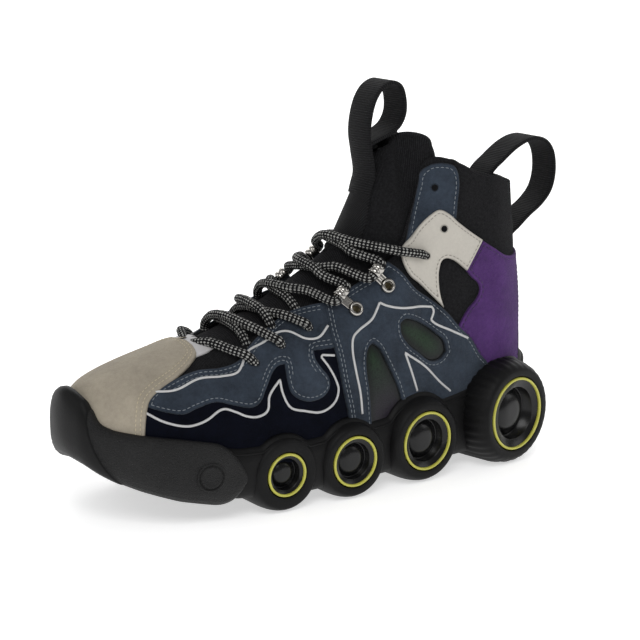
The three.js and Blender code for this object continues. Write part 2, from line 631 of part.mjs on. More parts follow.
// One wall of the sole as stacked rings around the shoe, from `under` to `top`, with flat caps.
function wallForm(flange, underColumn, topColumn) {
  const count = 2 * STATIONS;
  const points = [];
  for (const ring of WALL_RINGS) {
    for (let k = 0; k < count; k += 1) {
      const side = k <= STATIONS ? 1 : -1;
      const t = ribAt(side > 0 ? k : count - k);
      const out = baseNormal(t, side);
      const edge = basePoint(t, side).addScaledVector(out, flange);
      const under = soleHeight(underColumn, edge.x);
      const top = soleHeight(topColumn, edge.x);
      const place = edge.addScaledVector(out, -ring.inset);
      points.push(new THREE.Vector3(place.x, place.y, THREE.MathUtils.lerp(under, top, ring.part)));
    }
  }
  const corners = [];
  for (let ring = 0; ring < WALL_RINGS.length - 1; ring += 1) {
    for (let k = 0; k < count; k += 1) {
      const [a, b] = [ring * count + k, ring * count + ((k + 1) % count)];
      corners.push(a, a + count, b + count, a, b + count, b);
    }
  }
  const lid = (WALL_RINGS.length - 1) * count;
  for (let k = 0; k < STATIONS; k += 1) {
    const [a, b] = [k, k + 1];
    const [c, d] = [(count - b) % count, (count - a) % count];
    corners.push(a, b, c, a, c, d);
    corners.push(lid + a, lid + c, lid + b, lid + a, lid + d, lid + c);
  }
  const geometry = new THREE.BufferGeometry().setFromPoints(points);
  geometry.setIndex(corners);
  return toSolid(geometry);
}

// The rim: webs between the rollers and an arched hood over each.
function rimHeight(u) {
  let height = soleHeight('web', u);
  for (const roller of ROLLERS) {
    const radius = roller.radius * ROLLER_RADIUS;
    const reach = radius + roller.hood;
    const away = Math.abs(u - roller.u * LAST_LENGTH);
    const arch = away < reach ? radius - TREAD_FLAT + Math.sqrt(reach * reach - away * away) : 0;
    height = Math.max(height, arch);
  }
  return height;
}

const RIM_STEPS = 24;
const RIM_FRONT = 0.775;
const BELOW = -1;

function rimPrism() {
  const [heel, toe] = [BEYOND_HEEL * LAST_LENGTH, BEYOND_TOE * LAST_LENGTH];
  const points = [new THREE.Vector2(heel, BELOW), new THREE.Vector2(toe, BELOW)];
  points.push(new THREE.Vector2(toe, SHAFT_HEIGHT), new THREE.Vector2(RIM_FRONT * LAST_LENGTH, SHAFT_HEIGHT));
  for (let k = RIM_STEPS; k >= 0; k -= 1) {
    const u = (k / RIM_STEPS) * RIM_FRONT * LAST_LENGTH;
    points.push(new THREE.Vector2(u, rimHeight(u)));
  }
  points.push(new THREE.Vector2(heel, rimHeight(0)));
  return sidePrism(points, -REACH, REACH);
}

const GUARD_REAR = 0.752;
const GUARD_END = 0.47;
const GUARD_STEPS = 10;

// The toe guard's side view: a rounded rear end on the button's height, open toward the toe.
function guardPrism() {
  const middle = BUTTON_PLACE[1] * SOLE_HEIGHT;
  const radius = GUARD_END * SOLE_HEIGHT;
  const rear = GUARD_REAR * LAST_LENGTH + radius;
  const toe = BEYOND_TOE * LAST_LENGTH;
  const points = [new THREE.Vector2(toe, BELOW), new THREE.Vector2(toe, SHAFT_HEIGHT)];
  points.push(new THREE.Vector2(rear + radius, SHAFT_HEIGHT));
  for (let k = 0; k <= GUARD_STEPS; k += 1) {
    const angle = Math.PI / 2 + (k / GUARD_STEPS) * Math.PI;
    points.push(new THREE.Vector2(rear + radius * Math.cos(angle), middle + radius * Math.sin(angle)));
  }
  points.push(new THREE.Vector2(rear + radius, BELOW));
  return sidePrism(points, -REACH, REACH);
}

function lathe(profile, steps) {
  return new THREE.LatheGeometry(profile.map(([radius, along]) => new THREE.Vector2(radius, along)), steps);
}

// A roller's place on one side: its axis runs from inside the sole out to its face.
function rollerFrame(roller, side) {
  const radius = roller.radius * ROLLER_RADIUS;
  const face = (side > 0 ? roller.outer : roller.inner) * HALF_WIDTH;
  const turn = THREE.MathUtils.degToRad(roller.turn) * side;
  const frame = new THREE.Object3D();
  frame.position.set(roller.u * LAST_LENGTH, side * face, radius - TREAD_FLAT);
  frame.rotation.set(side > 0 ? 0 : Math.PI, 0, turn, 'ZXY');
  frame.updateMatrix();
  return { radius, face, frame };
}

function rollerSolid(roller, side) {
  const { radius, face, frame } = rollerFrame(roller, side);
  const root = -face - ROOT_OVERLAP;
  const curve = ROLLER_SECTION.map((row) => [row.radius * radius, -row.back * ROLLER_SHOULDER]);
  const form = lathe([[0, root], [radius, root], ...curve, [0, 0]], ROLLER_STEPS);
  return toSolid(form.applyMatrix4(frame.matrix));
}

// The stepped recess of one roller: a seat for the ring, then a hub bore with a low dome.
function rollerRecess(roller, side) {
  const { radius, frame } = rollerFrame(roller, side);
  const seat = roller.ring * radius + GAP;
  const hub = HUB_SHARE * roller.ring * radius;
  const floor = -RING_DEPTH - GAP;
  const profile = [
    [0, 1], [seat, 1], [seat, floor], [hub, floor], [hub, floor - roller.hub], [0, floor - HUB_RISE * roller.hub],
  ];
  return toSolid(lathe(profile, RING_STEPS).applyMatrix4(frame.matrix));
}

function makeRing(roller) {
  const radius = roller.ring * roller.radius * ROLLER_RADIUS;
  const inner = radius - RING_WIDTH;
  const seat = [[inner, -RING_DEPTH], [radius, -RING_DEPTH]];
  return lathe([...seat, [radius, RING_PROUD], [inner, RING_PROUD], seat[0]], RING_STEPS);
}

function buttonPlace(side) {
  const u = BUTTON_PLACE[0] * LAST_LENGTH;
  let t = LAST_END;
  for (let k = 0; k <= 200; k += 1) {
    const trial = (k / 200) * LAST_END;
    if (basePoint(trial, side).x < u) t = trial;
  }
  const out = baseNormal(t, side);
  const place = basePoint(t, side).addScaledVector(out, TOE_GUARD_FLANGE);
  place.z = BUTTON_PLACE[1] * SOLE_HEIGHT;
  return { place, out };
}

function makeSole() {
  let sole = wallForm(SOLE_FLANGE, 'under', 'wall').intersect(rimPrism());
  sole = sole.add(wallForm(TOE_GUARD_FLANGE, 'guardUnder', 'guard').intersect(guardPrism()));
  for (const side of [1, -1]) {
    for (const roller of ROLLERS) sole = sole.add(rollerSolid(roller, side));
    const { place, out } = buttonPlace(side);
    const disc = new THREE.CylinderGeometry(BUTTON_RADIUS, BUTTON_RADIUS, 4 * BUTTON_HEIGHT, RING_STEPS);
    disc.applyQuaternion(new THREE.Quaternion().setFromUnitVectors(new THREE.Vector3(0, 1, 0), out));
    sole = sole.add(toSolid(disc.translate(place.x, place.y, place.z)));
  }
  const sky = [BEYOND_TOE, BEYOND_HEEL].map((end) => inPlace([end, BEYOND_TOE]));
  const room = lastForm(outsideWall + GAP).intersect(sidePrism([...longFloor(0), ...sky], -REACH, REACH));
  sole = sole.subtract(room);
  for (const side of [1, -1]) {
    for (const roller of ROLLERS) sole = sole.subtract(rollerRecess(roller, side));
  }
  const ground = new THREE.BoxGeometry(3 * LAST_LENGTH, 2 * REACH, SOLE_HEIGHT);
  return largestBody(sole.subtract(toSolid(ground.translate(0, 0, -SOLE_HEIGHT / 2))));
}

// Lace, hooks and loops

const LACE_REST = LACE_DIAMETER / 2 + GAP;
const laceOnSide = outsideWall + LACE_REST + 0.9;
const laceOnTongue = behindWall + LACE_REST + 0.9;
const HOOK_CLEARANCE = 1.7;
const laceInHook = outsideWall + GAP + HOOK_THICKNESS + LACE_REST + HOOK_CLEARANCE;
const HOOK_TURNS = 5;
const HOOK_CURL = 1.28 * Math.PI;
const STRAND_STEPS = 10;

// The frame of a hook: its origin on the rivet's place, x toward the lace, y out of the shoe.
function hookFrame(index, side) {
  const rivet = onSkin(RIVETS[index], side);
  const eye = onSkin(LACE_ROWS.filter((row) => row.hooked)[index].eye, side);
  const toLace = eye.here.clone().sub(rivet.here);
  const reach = toLace.dot(toLace.clone().addScaledVector(rivet.out, -toLace.dot(rivet.out)).normalize());
  const x = toLace.addScaledVector(rivet.out, -toLace.dot(rivet.out)).normalize();
  const z = x.clone().cross(rivet.out);
  const matrix = new THREE.Matrix4().makeBasis(x, rivet.out, z).setPosition(rivet.here);
  return { matrix, reach, z };
}

// The lace's middle at an eyelet or in a hook's tunnel.
function eyePoint(row, side) {
  if (!row.hooked) {
    const { here, out } = onSkin(row.eye, side);
    return here.addScaledVector(out, laceOnSide);
  }
  const { matrix, reach } = hookFrame(LACE_ROWS.filter((each) => each.hooked).indexOf(row), side);
  return new THREE.Vector3(reach, laceInHook, 0).applyMatrix4(matrix);
}

// The way from an eye up to the ridge, over the throat's edge and the tongue.
function laceClimb(row, side, cross, toToe, rest = laceOnTongue) {
  const points = [eyePoint(row, side)];
  if (row.hooked) {
    const frame = hookFrame(LACE_ROWS.filter((each) => each.hooked).indexOf(row), side);
    const along = frame.z.clone().multiplyScalar(Math.sign(frame.z.x) * (toToe ? 1 : -1));
    points.push(points[0].clone().addScaledVector(along, 0.5 * HOOK_WIDTH + LACE_DIAMETER / 2));
  }
  const eye = inPlace(row.eye);
  const top = onRidge('topU', cross, 0);
  for (const part of [0.3, 0.6, 0.85]) {
    const u = THREE.MathUtils.lerp(eye.x, top.x, part) / LAST_LENGTH;
    const z = THREE.MathUtils.lerp(eye.y, top.z, part) / SHAFT_HEIGHT;
    if (row.hooked && part < 0.5) continue;
    const { here, out } = onSkin([u, z], side);
    const lift = THREE.MathUtils.lerp(laceOnSide, rest, THREE.MathUtils.smoothstep(part, 0.5, 1));
    points.push(here.addScaledVector(out, lift));
  }
  points.push(onRidge('topU', cross, rest));
  return points;
}

function cordSolid(points, diameter, steps) {
  const section = new THREE.Shape();
  for (let k = 0; k < LACE_SIDES; k += 1) {
    const angle = (k / LACE_SIDES) * 2 * Math.PI;
    const corner = [0.5 * diameter * Math.cos(angle), 0.5 * diameter * Math.sin(angle)];
    section[k === 0 ? 'moveTo' : 'lineTo'](...corner);
  }
  const path = new THREE.CatmullRomCurve3(points, false, 'centripetal');
  return toSolid(new THREE.ExtrudeGeometry(section, { steps, extrudePath: path, curveSegments: 1 }));
}

function makeLace() {
  const bar = [1, -1].map((side) => laceClimb(LACE_ROWS[0], side, LACE_ROWS[0].cross, true, laceOnSide));
  let lace = cordSolid([...bar[0], ...bar[1].toReversed().slice(1)], LACE_DIAMETER, STRAND_STEPS);
  for (let k = 1; k < LACE_ROWS.length; k += 1) {
    for (const side of [1, -1]) {
      const start = laceClimb(LACE_ROWS[k - 1], side, LACE_ROWS[k].cross, false);
      const end = laceClimb(LACE_ROWS[k], -side, LACE_ROWS[k].cross, true);
      lace = lace.add(cordSolid([...start, ...end.toReversed().slice(1)], LACE_DIAMETER, STRAND_STEPS));
    }
  }
  return largestBody(lace);
}

// A lace hook: a hollow rivet and a strap that curls over the lace.
function makeHook(reach) {
  const seat = outsideWall + GAP;
  const [shoulder, top] = [seat + 0.6 * RIVET_HEIGHT, seat + RIVET_HEIGHT];
  const [crown, bore] = [0.8 * RIVET_RADIUS, 0.5 * RIVET_RADIUS];
  const outside = [[0, seat], [RIVET_RADIUS, seat], [RIVET_RADIUS, shoulder], [crown, top]];
  const rivet = lathe([...outside, [bore, top], [bore, shoulder], [0, shoulder]], RIVET_STEPS);
  const inner = LACE_DIAMETER / 2 + HOOK_CLEARANCE;
  const outer = inner + HOOK_THICKNESS;
  const strap = [new THREE.Vector2(0, laceInHook - inner), new THREE.Vector2(0, laceInHook - outer)];
  const turns = [];
  for (let k = 0; k <= HOOK_TURNS; k += 1) turns.push(-Math.PI / 2 + (k / HOOK_TURNS) * HOOK_CURL);
  const onCurl = (radius, turn) => new THREE.Vector2(
    reach + radius * Math.cos(turn),
    laceInHook + radius * Math.sin(turn),
  );
  for (const turn of turns) strap.push(onCurl(outer, turn));
  for (const turn of turns.toReversed()) strap.push(onCurl(inner, turn));
  const shape = new THREE.Shape(strap);
  const bent = new THREE.ExtrudeGeometry(shape, { depth: HOOK_WIDTH, bevelEnabled: false });
  return toGeometry(toSolid(rivet).add(toSolid(bent.translate(0, 0, -HOOK_WIDTH / 2))));
}

// A flat strap across the shoe that follows a middle line in the side view.
function ribbon(line, width, thickness, steps) {
  const path = new THREE.SplineCurve(line);
  const [left, right] = [[], []];
  for (let k = 0; k <= steps; k += 1) {
    const middle = path.getPointAt(k / steps);
    const along = path.getTangentAt(k / steps);
    const aside = new THREE.Vector2(-along.y, along.x).multiplyScalar(thickness / 2);
    left.push(middle.clone().add(aside));
    right.push(middle.clone().sub(aside));
  }
  return sidePrism([...left, ...right.toReversed()], -width / 2, width / 2);
}

// Room for the straps over the bends of the tongue and of the lining behind them.
const LOOP_ROOM = 1.1;
const INSIDE_ROOM = 3.9;
const LOOP_RISE_STEPS = 14;
const LOOP_FALL_STEPS = 8;
const HEEL_LOOP_STEPS = 20;
const inSideView = (point) => new THREE.Vector2(point.x, point.z);

function makeTongueLoop() {
  const lift = behindWall + LOOP_ROOM + WEBBING_THICKNESS / 2;
  const sewn = TONGUE_LOOP.sewn.map((height) => inSideView(onRidge('topZ', height, lift)));
  const rise = [...sewn, ...TONGUE_LOOP.rise.map(inPlace)];
  const front = ribbon(rise, WEBBING_WIDTH, WEBBING_THICKNESS, LOOP_RISE_STEPS);
  const fall = TONGUE_LOOP.fall.map(inPlace);
  return largestBody(front.add(ribbon(fall, WEBBING_WIDTH, WEBBING_THICKNESS, LOOP_FALL_STEPS)));
}

function makeHeelLoop() {
  const half = WEBBING_THICKNESS / 2;
  const sewn = HEEL_LOOP.sewn.map((height) => inSideView(onHeel(height, LOOP_ROOM + half)));
  const insideLift = behindWall - COLLAR_PADDING - INSIDE_ROOM - half;
  const inside = HEEL_LOOP.inside.map((height) => inSideView(onHeel(height, insideLift)));
  const line = [...sewn, ...HEEL_LOOP.free.map(inPlace), ...inside];
  return largestBody(ribbon(line, WEBBING_WIDTH, WEBBING_THICKNESS, HEEL_LOOP_STEPS));
}

// The scene

const finishes = {
  rubber: { color: 0x17171a, roughness: 0.6, metalness: 0 },
  yellow: { color: 0xc3c350, roughness: 0.35, metalness: 0 },
  knit: { color: 0x131316, roughness: 0.95, metalness: 0 },
  foam: { color: 0x1a1a1d, roughness: 1, metalness: 0 },
  beigeSuede: { color: 0xa59b8c, roughness: 0.95, metalness: 0 },
  paleSuede: { color: 0xcdcbcd, roughness: 0.95, metalness: 0 },
  blueSuede: { color: 0x323a4b, roughness: 0.95, metalness: 0 },
  navySuede: { color: 0x0a0c16, roughness: 0.95, metalness: 0 },
  boneLeather: { color: 0xb0aba2, roughness: 0.45, metalness: 0 },
  purpleSuede: { color: 0x4e3070, roughness: 0.95, metalness: 0 },
  greenFilm: { color: 0x233726, roughness: 0.25, metalness: 0 },
  webbing: { color: 0x1b1b1e, roughness: 0.85, metalness: 0 },
  cord: { color: 0x4a4a4c, roughness: 0.85, metalness: 0 },
  nickel: { color: 0xb9b4aa, roughness: 0.25, metalness: 1 },
};

const shoe = new THREE.Group();

function addMesh(name, geometry, finish) {
  const mesh = new THREE.Mesh(geometry, new THREE.MeshStandardMaterial(finishes[finish]));
  mesh.name = name;
  shoe.add(mesh);
  return mesh;
}

addMesh('sole', toGeometry(makeSole()), 'rubber');
addMesh('insole', toGeometry(makeInsole()), 'foam');
addMesh('upper', toGeometry(makeUpper()), 'knit');
addMesh('tongue', toGeometry(makeTongue()), 'knit');
addMesh('collar_lining', toGeometry(makeCollarLining()), 'knit');
addMesh('toe_cap', toGeometry(overlay(toeCapOutline, 0)), 'beigeSuede');
addMesh('throat_tab', toGeometry(overlay(THROAT_TAB, 0, [toeCapOutline])), 'paleSuede');
addMesh('backstay', toGeometry(makeBackstay()), 'knit');
for (const [side, word] of [[1, 'outer'], [-1, 'inner']]) {
  const vamp = overlay(vampOutline, side, [toeCapOutline, THROAT_TAB, quarterOutline]);
  const rand = overlay(RAND_PANEL, side, [toeCapOutline, vampOutline, quarterOutline]);
  addMesh(`vamp_panel_${word}`, toGeometry(vamp), 'blueSuede');
  addMesh(`rand_panel_${word}`, toGeometry(rand), 'navySuede');
  addMesh(`quarter_panel_${word}`, toGeometry(makeQuarter(side)), 'blueSuede');
  addMesh(`front_window_${word}`, toGeometry(makeWindow(FRONT_WINDOW, side)), 'greenFilm');
  addMesh(`rear_window_${word}`, toGeometry(makeWindow(REAR_WINDOW, side)), 'greenFilm');
  addMesh(`ankle_wing_${word}`, toGeometry(overlay(WING, side)), 'boneLeather');
  addMesh(`heel_counter_${word}`, toGeometry(makeCounter(side)), 'purpleSuede');
  addMesh(`collar_tab_${word}`, toGeometry(overlay(COLLAR_TAB, side, [WING, quarterOutline])), 'blueSuede');
  ROLLERS.forEach((roller, k) => {
    const ring = addMesh(`roller_ring_${word}_${k + 1}`, makeRing(roller), 'yellow');
    const { frame } = rollerFrame(roller, side);
    ring.position.copy(frame.position);
    ring.quaternion.copy(frame.quaternion);
  });
  RIVETS.forEach((place, k) => {
    const { matrix, reach } = hookFrame(k, side);
    const hook = addMesh(`lace_hook_${word}_${k + 1}`, makeHook(reach), 'nickel');
    matrix.decompose(hook.position, hook.quaternion, hook.scale);
  });
}
addMesh('lace', toGeometry(makeLace()), 'cord');
addMesh('tongue_loop', toGeometry(makeTongueLoop()), 'webbing');
addMesh('heel_loop', toGeometry(makeHeelLoop()), 'webbing');

// The shoe is turned so that its toe points along -X and its outer side along -Y, over its footprint's middle.
const placed = new THREE.Group();
shoe.rotation.z = Math.PI;
placed.add(shoe);
placed.updateMatrixWorld(true);
const box = new THREE.Box3().setFromObject(placed, true);
const middle = box.getCenter(new THREE.Vector3());
shoe.position.set(-middle.x, -middle.y, -box.min.z);

export default placed;
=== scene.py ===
import math
import bpy
import bmesh
import numpy as np
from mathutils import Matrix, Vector
from mathutils.geometry import delaunay_2d_cdt


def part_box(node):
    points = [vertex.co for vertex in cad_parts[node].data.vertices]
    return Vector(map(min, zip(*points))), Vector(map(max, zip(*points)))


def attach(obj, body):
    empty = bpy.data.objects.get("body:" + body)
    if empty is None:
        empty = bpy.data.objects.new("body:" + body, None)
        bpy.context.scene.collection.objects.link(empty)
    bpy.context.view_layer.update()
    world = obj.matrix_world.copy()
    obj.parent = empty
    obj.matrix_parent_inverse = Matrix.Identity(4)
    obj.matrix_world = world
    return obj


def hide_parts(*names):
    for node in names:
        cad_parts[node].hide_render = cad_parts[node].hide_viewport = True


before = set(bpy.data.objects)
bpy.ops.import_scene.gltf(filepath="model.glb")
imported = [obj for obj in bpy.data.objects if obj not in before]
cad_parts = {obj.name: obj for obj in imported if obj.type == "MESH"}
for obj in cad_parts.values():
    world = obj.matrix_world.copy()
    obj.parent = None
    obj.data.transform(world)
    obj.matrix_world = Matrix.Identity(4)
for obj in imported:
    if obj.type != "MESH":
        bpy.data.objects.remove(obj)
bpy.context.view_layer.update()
print("frame loaded")

# shoe millimetres: u heel to toe, v to the outer side, z up
last = {"length": 300, "halfWidth": 47, "shaft": 205, "sole": 38, "ribs": 16, "ridgeRib": 6}
ribs = {
    "baseU": [.057, .069, .104, .158, .230, .302, .365, .430, .500, .580, .660, .740, .820, .890, .942, .974,
              .981],
    "outer": [0, .36, .62, .76, .80, .84, .88, .92, .96, .99, 1, .98, .90, .74, .48, .19, -.06],
    "inner": [0, .35, .59, .67, .65, .64, .67, .73, .82, .92, .99, 1.01, .98, .87, .63, .33, .06],
    "baseZ": [1, 1, .98, .94, .87, .80, .74, .70, .67, .66, .67, .72, .84, 1.02, 1.18, 1.29, 1.32],
    "topU": [.079, .094, .132, .182, .240, .296, .335, .392, .450, .535, .630, .720, .805, .876, .928, .958,
             .965],
    "topSide": [0, .34, .59, .70, .69, .52, 0, 0, 0, 0, 0, 0, -.01, -.03, -.05, -.06, -.06],
    "topZ": [1, 1, 1, 1, 1, 1, 1, .830, .657, .563, .487, .436, .407, .377, .358, .340, .336],
    "swell": [.03, .05, .07, .07, .06, .05, .05, .05, .05, .05, .04, .04, .04, .04, .04, .04, .04],
    "rise": [.20, .20, .20, .22, .24, .26, .26, .22, .18, .15, .13, .11, .09, .07, .05, .03, .03],
    "crown": [0, 0, 0, 0, 0, 0, .35, .40, .48, .56, .62, .64, .62, .52, .33, .17, .12],
    "fall": [.30, .30, .30, .30, .30, .30, .14, .05, .02, .01, 0, 0, 0, 0, 0, 0, 0],
}
mirroredColumns = ("outer", "inner", "topSide")
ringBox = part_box("roller_ring_outer_1")
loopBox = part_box("tongue_loop")
shiftU = 500 * (ringBox[0][0] + ringBox[1][0]) + 200.4
shiftV = 500 * (loopBox[0][1] + loopBox[1][1])


def toWorld(points):
    points = np.asarray(points, float)
    return np.stack([shiftU - points[..., 0], shiftV - points[..., 1], points[..., 2]], -1) / 1000


def unit(vectors):
    return vectors / np.maximum(np.linalg.norm(vectors, axis=-1, keepdims=True), 1e-9)


# a slope that keeps a curve from passing its own points
def steadySlope(before, after):
    both = np.where(before * after <= 0, 1, before + after)
    return np.where(before * after <= 0, 0, 2 * before * after / both)


# a rib value between its rows, mirrored past the heel and the toe
def ribValue(column, t):
    row = np.array(ribs[column], float)
    heel, toe = row[1], row[-2]
    if column in mirroredColumns:
        heel, toe = 2 * row[0] - row[1], 2 * row[-1] - row[-2]
    row = np.concatenate([[heel], row, [toe]])
    i = np.clip(np.floor(t).astype(int), 0, last["ribs"] - 1)
    x = t - i
    a, b, c, d = row[i], row[i + 1], row[i + 2], row[i + 3]
    slopeB, slopeC = steadySlope(b - a, c - b), steadySlope(c - b, d - c)
    rest = (2 * x**3 - 3 * x**2 + 1) * b + (3 * x**2 - 2 * x**3) * c
    return rest + (x**3 - 2 * x**2 + x) * slopeB + (x**3 - x**2) * slopeC


# the foot of the upper on the sole, at a rib
def basePoint(t, side):
    half = ribValue("outer", t) if side > 0 else -ribValue("inner", t)
    return np.stack([ribValue("baseU", t) * last["length"], half * last["halfWidth"],
                     ribValue("baseZ", t) * last["sole"]], -1)


def baseNormal(t, side):
    near = np.clip(t, .02, last["ribs"] - .02)
    along = basePoint(near + .02, side) - basePoint(near - .02, side)
    out = unit(np.stack([-side * along[..., 1], side * along[..., 0], 0 * near], -1))
    out[t < .02] = (-1, 0, 0)
    out[t > last["ribs"] - .02] = (1, 0, 0)
    return out


# a place on the upper, at rib t and share s of its height
def skinPoint(t, s, side):
    foot = basePoint(t, side)
    out = baseNormal(t, side)
    turn = np.where(t >= last["ridgeRib"], 1, side)
    top = np.stack([ribValue("topU", t) * last["length"], ribValue("topSide", t) * last["halfWidth"] * turn,
                    ribValue("topZ", t) * last["shaft"]], -1)
    up = np.array([0, 0, 1.0])
    low = foot + out * (ribValue("swell", t) * last["halfWidth"])[..., None]
    low = low + up * (ribValue("rise", t) * last["shaft"])[..., None]
    high = top + out * (ribValue("crown", t) * last["halfWidth"])[..., None]
    high = high - up * (ribValue("fall", t) * last["shaft"])[..., None]
    s = s[..., None]
    return (1 - s)**3 * foot + 3 * s * (1 - s)**2 * low + 3 * s * s * (1 - s) * high + s**3 * top


# the skin as a fine net on each side, eased over the ridge
net = {"perRib": 40, "levels": 120, "easing": 150, "easeIn": 1.5, "tip": .8, "tipLevels": 6}
netT = np.linspace(0, last["ribs"], last["ribs"] * net["perRib"] + 1)
netS = np.linspace(0, 1, net["levels"] + 1)
gridT, gridS = np.meshgrid(netT, netS, indexing="ij")
skin = {side: skinPoint(gridT, gridS, side) for side in (1, -1)}
ridgeStart = last["ridgeRib"] * net["perRib"]
half = net["levels"] // 2
band = np.concatenate([skin[1][ridgeStart:, half:], skin[-1][ridgeStart:, half:-1][:, ::-1]], 1)
fade = np.sin(np.linspace(0, math.pi, band.shape[1]))[None, :, None]**2
fade = fade * np.clip((netT[ridgeStart:] - last["ridgeRib"]) / net["easeIn"], 0, 1)[:, None, None]
fade = fade * np.clip(last["ribs"] - netT[ridgeStart:], 0, 1)[:, None, None]
for step in range(net["easing"]):
    eased = band.copy()
    eased[:, 1:-1] = .25 * band[:, :-2] + .5 * band[:, 1:-1] + .25 * band[:, 2:]
    band = band + fade * (eased - band)
skin[1][ridgeStart:, half:] = band[:, :half + 1]
skin[-1][ridgeStart:, half:] = band[:, half:][:, ::-1]


def netNormals(side):
    alongT = np.gradient(skin[side], axis=0)
    alongS = np.gradient(skin[side], axis=1)
    return unit(-side * np.cross(alongT, alongS))


outward = {side: netNormals(side) for side in (1, -1)}
for row in (0, -1):
    shared = unit(outward[1][row] + outward[-1][row])
    outward[1][row], outward[-1][row] = shared, shared
shared = unit(outward[1][ridgeStart:, -1] + outward[-1][ridgeStart:, -1])
outward[1][ridgeStart:, -1], outward[-1][ridgeStart:, -1] = shared, shared
# at the tip the ridge turns too tightly for its own normals
tipStart = int((last["ribs"] - net["tip"]) * net["perRib"])
below = -net["tipLevels"] - 1
shared = unit(outward[1][tipStart:, below] + outward[-1][tipStart:, below])[:, None]
for side in (1, -1):
    outward[side][tipStart:, below + 1:] = shared


# values of the net between its points
def readNet(values, t, s):
    x = np.clip(t * net["perRib"], 0, len(netT) - 1.0001)
    y = np.clip(s * net["levels"], 0, net["levels"] - .0001)
    i, j = x.astype(int), y.astype(int)
    a, b = (x - i)[..., None], (y - j)[..., None]
    low = values[i, j] * (1 - b) + values[i, j + 1] * b
    high = values[i + 1, j] * (1 - b) + values[i + 1, j + 1] * b
    return low * (1 - a) + high * a


# slow unevenness of hand-lasted cloth, the same for every layer so that none breaks through another
unevenness = {"height": .16, "waves": (11, 9, 13, 17), "ripple": .6, "rippleWaves": (5.3, 9, 7.1)}


def softness(points):
    u, v, z = points[..., 0], points[..., 1], points[..., 2]
    a, b, c, d = unevenness["waves"]
    alongU, alongV, alongZ = unevenness["rippleWaves"]
    wave = np.sin(u / a + np.sin(z / b)) * np.sin(z / c + np.sin(u / d))
    ripple = np.sin(u / alongU + z / alongZ + v / alongV)
    return unevenness["height"] * (wave + unevenness["ripple"] * ripple)


# a place that stands off the upper
def onNet(t, s, side, lift):
    t, s, lift = np.asarray(t, float), np.asarray(s, float), np.asarray(lift, float)
    here = readNet(skin[side], t, s)
    out = unit(readNet(outward[side], t, s))
    return here + out * (lift + softness(here))[..., None]


ribLength = {}
meanLength = {}
for side in (1, -1):
    ribLength[side] = np.linalg.norm(np.diff(skin[side], axis=1), axis=-1).sum(1)
    steps = np.linalg.norm(np.diff(skin[side][:, int(.45 * net["levels"])], axis=0), axis=-1)
    meanLength[side] = np.concatenate([[0], np.cumsum(steps)])


# the upper laid flat in millimetres, for cutting panels, and back
def toFlat(ts, side):
    x = np.interp(ts[..., 0], netT, meanLength[side])
    return np.stack([x, ts[..., 1] * np.interp(ts[..., 0], netT, ribLength[side])], -1)


def fromFlat(xy, side):
    t = np.interp(xy[..., 0], meanLength[side], netT)
    return np.stack([t, np.clip(xy[..., 1] / np.interp(t, netT, ribLength[side]), 0, 1)], -1)


# places this near an edge of the skin go onto it, as rib values or as shares of a rib's height
snap = {"ridge": .97, "base": .015, "ends": .06, "tipRibs": 2.5, "tipRise": .6}


# the place on the skin that shows at (u, z) in the side view; places past the outline go to its nearest edge
def findOnSkin(places, side, lift=0.0):
    places = np.atleast_2d(np.asarray(places, float))
    sheet = (skin[side] + lift * outward[side])[::2, ::2]
    flat = sheet[..., [0, 2]].reshape(-1, 2)
    found = np.empty((len(places), 2))
    for k, place in enumerate(places):
        best = np.argmin(((flat - place)**2).sum(1))
        found[k] = (netT[::2][best // sheet.shape[1]], netS[::2][best % sheet.shape[1]])
    for step in range(6):
        def look(ts):
            t, s = ts[:, 0], ts[:, 1]
            return (readNet(skin[side], t, s) + lift * readNet(outward[side], t, s))[:, [0, 2]]
        here = look(found)
        byT = (look(found + (.01, 0)) - look(found - (.01, 0))) / .02
        byS = (look(found + (0, .004)) - look(found - (0, .004))) / .008
        miss = places - here
        det = byT[:, 0] * byS[:, 1] - byT[:, 1] * byS[:, 0]
        det = np.where(abs(det) < 1, np.inf, det)
        stepT = (miss[:, 0] * byS[:, 1] - miss[:, 1] * byS[:, 0]) / det
        stepS = (byT[:, 0] * miss[:, 1] - byT[:, 1] * miss[:, 0]) / det
        near = (miss**2).sum(1) < 4
        found[:, 0] += np.where(near, np.clip(stepT, -.1, .1), 0)
        found[:, 1] += np.where(near, np.clip(stepS, -.03, .03), 0)
        found[:, 0] = np.clip(found[:, 0], 0, last["ribs"])
        found[:, 1] = np.clip(found[:, 1], 0, 1)
    t, s = found.T
    s[(s > snap["ridge"]) & (t > last["ridgeRib"])] = 1
    s[s < snap["base"]] = 0
    t[t < snap["ends"]] = 0
    t[t > last["ribs"] - snap["ends"]] = last["ribs"]
    return np.stack([t, s], -1)


def share(points):
    return np.array(points, float) * (last["length"], last["shaft"])


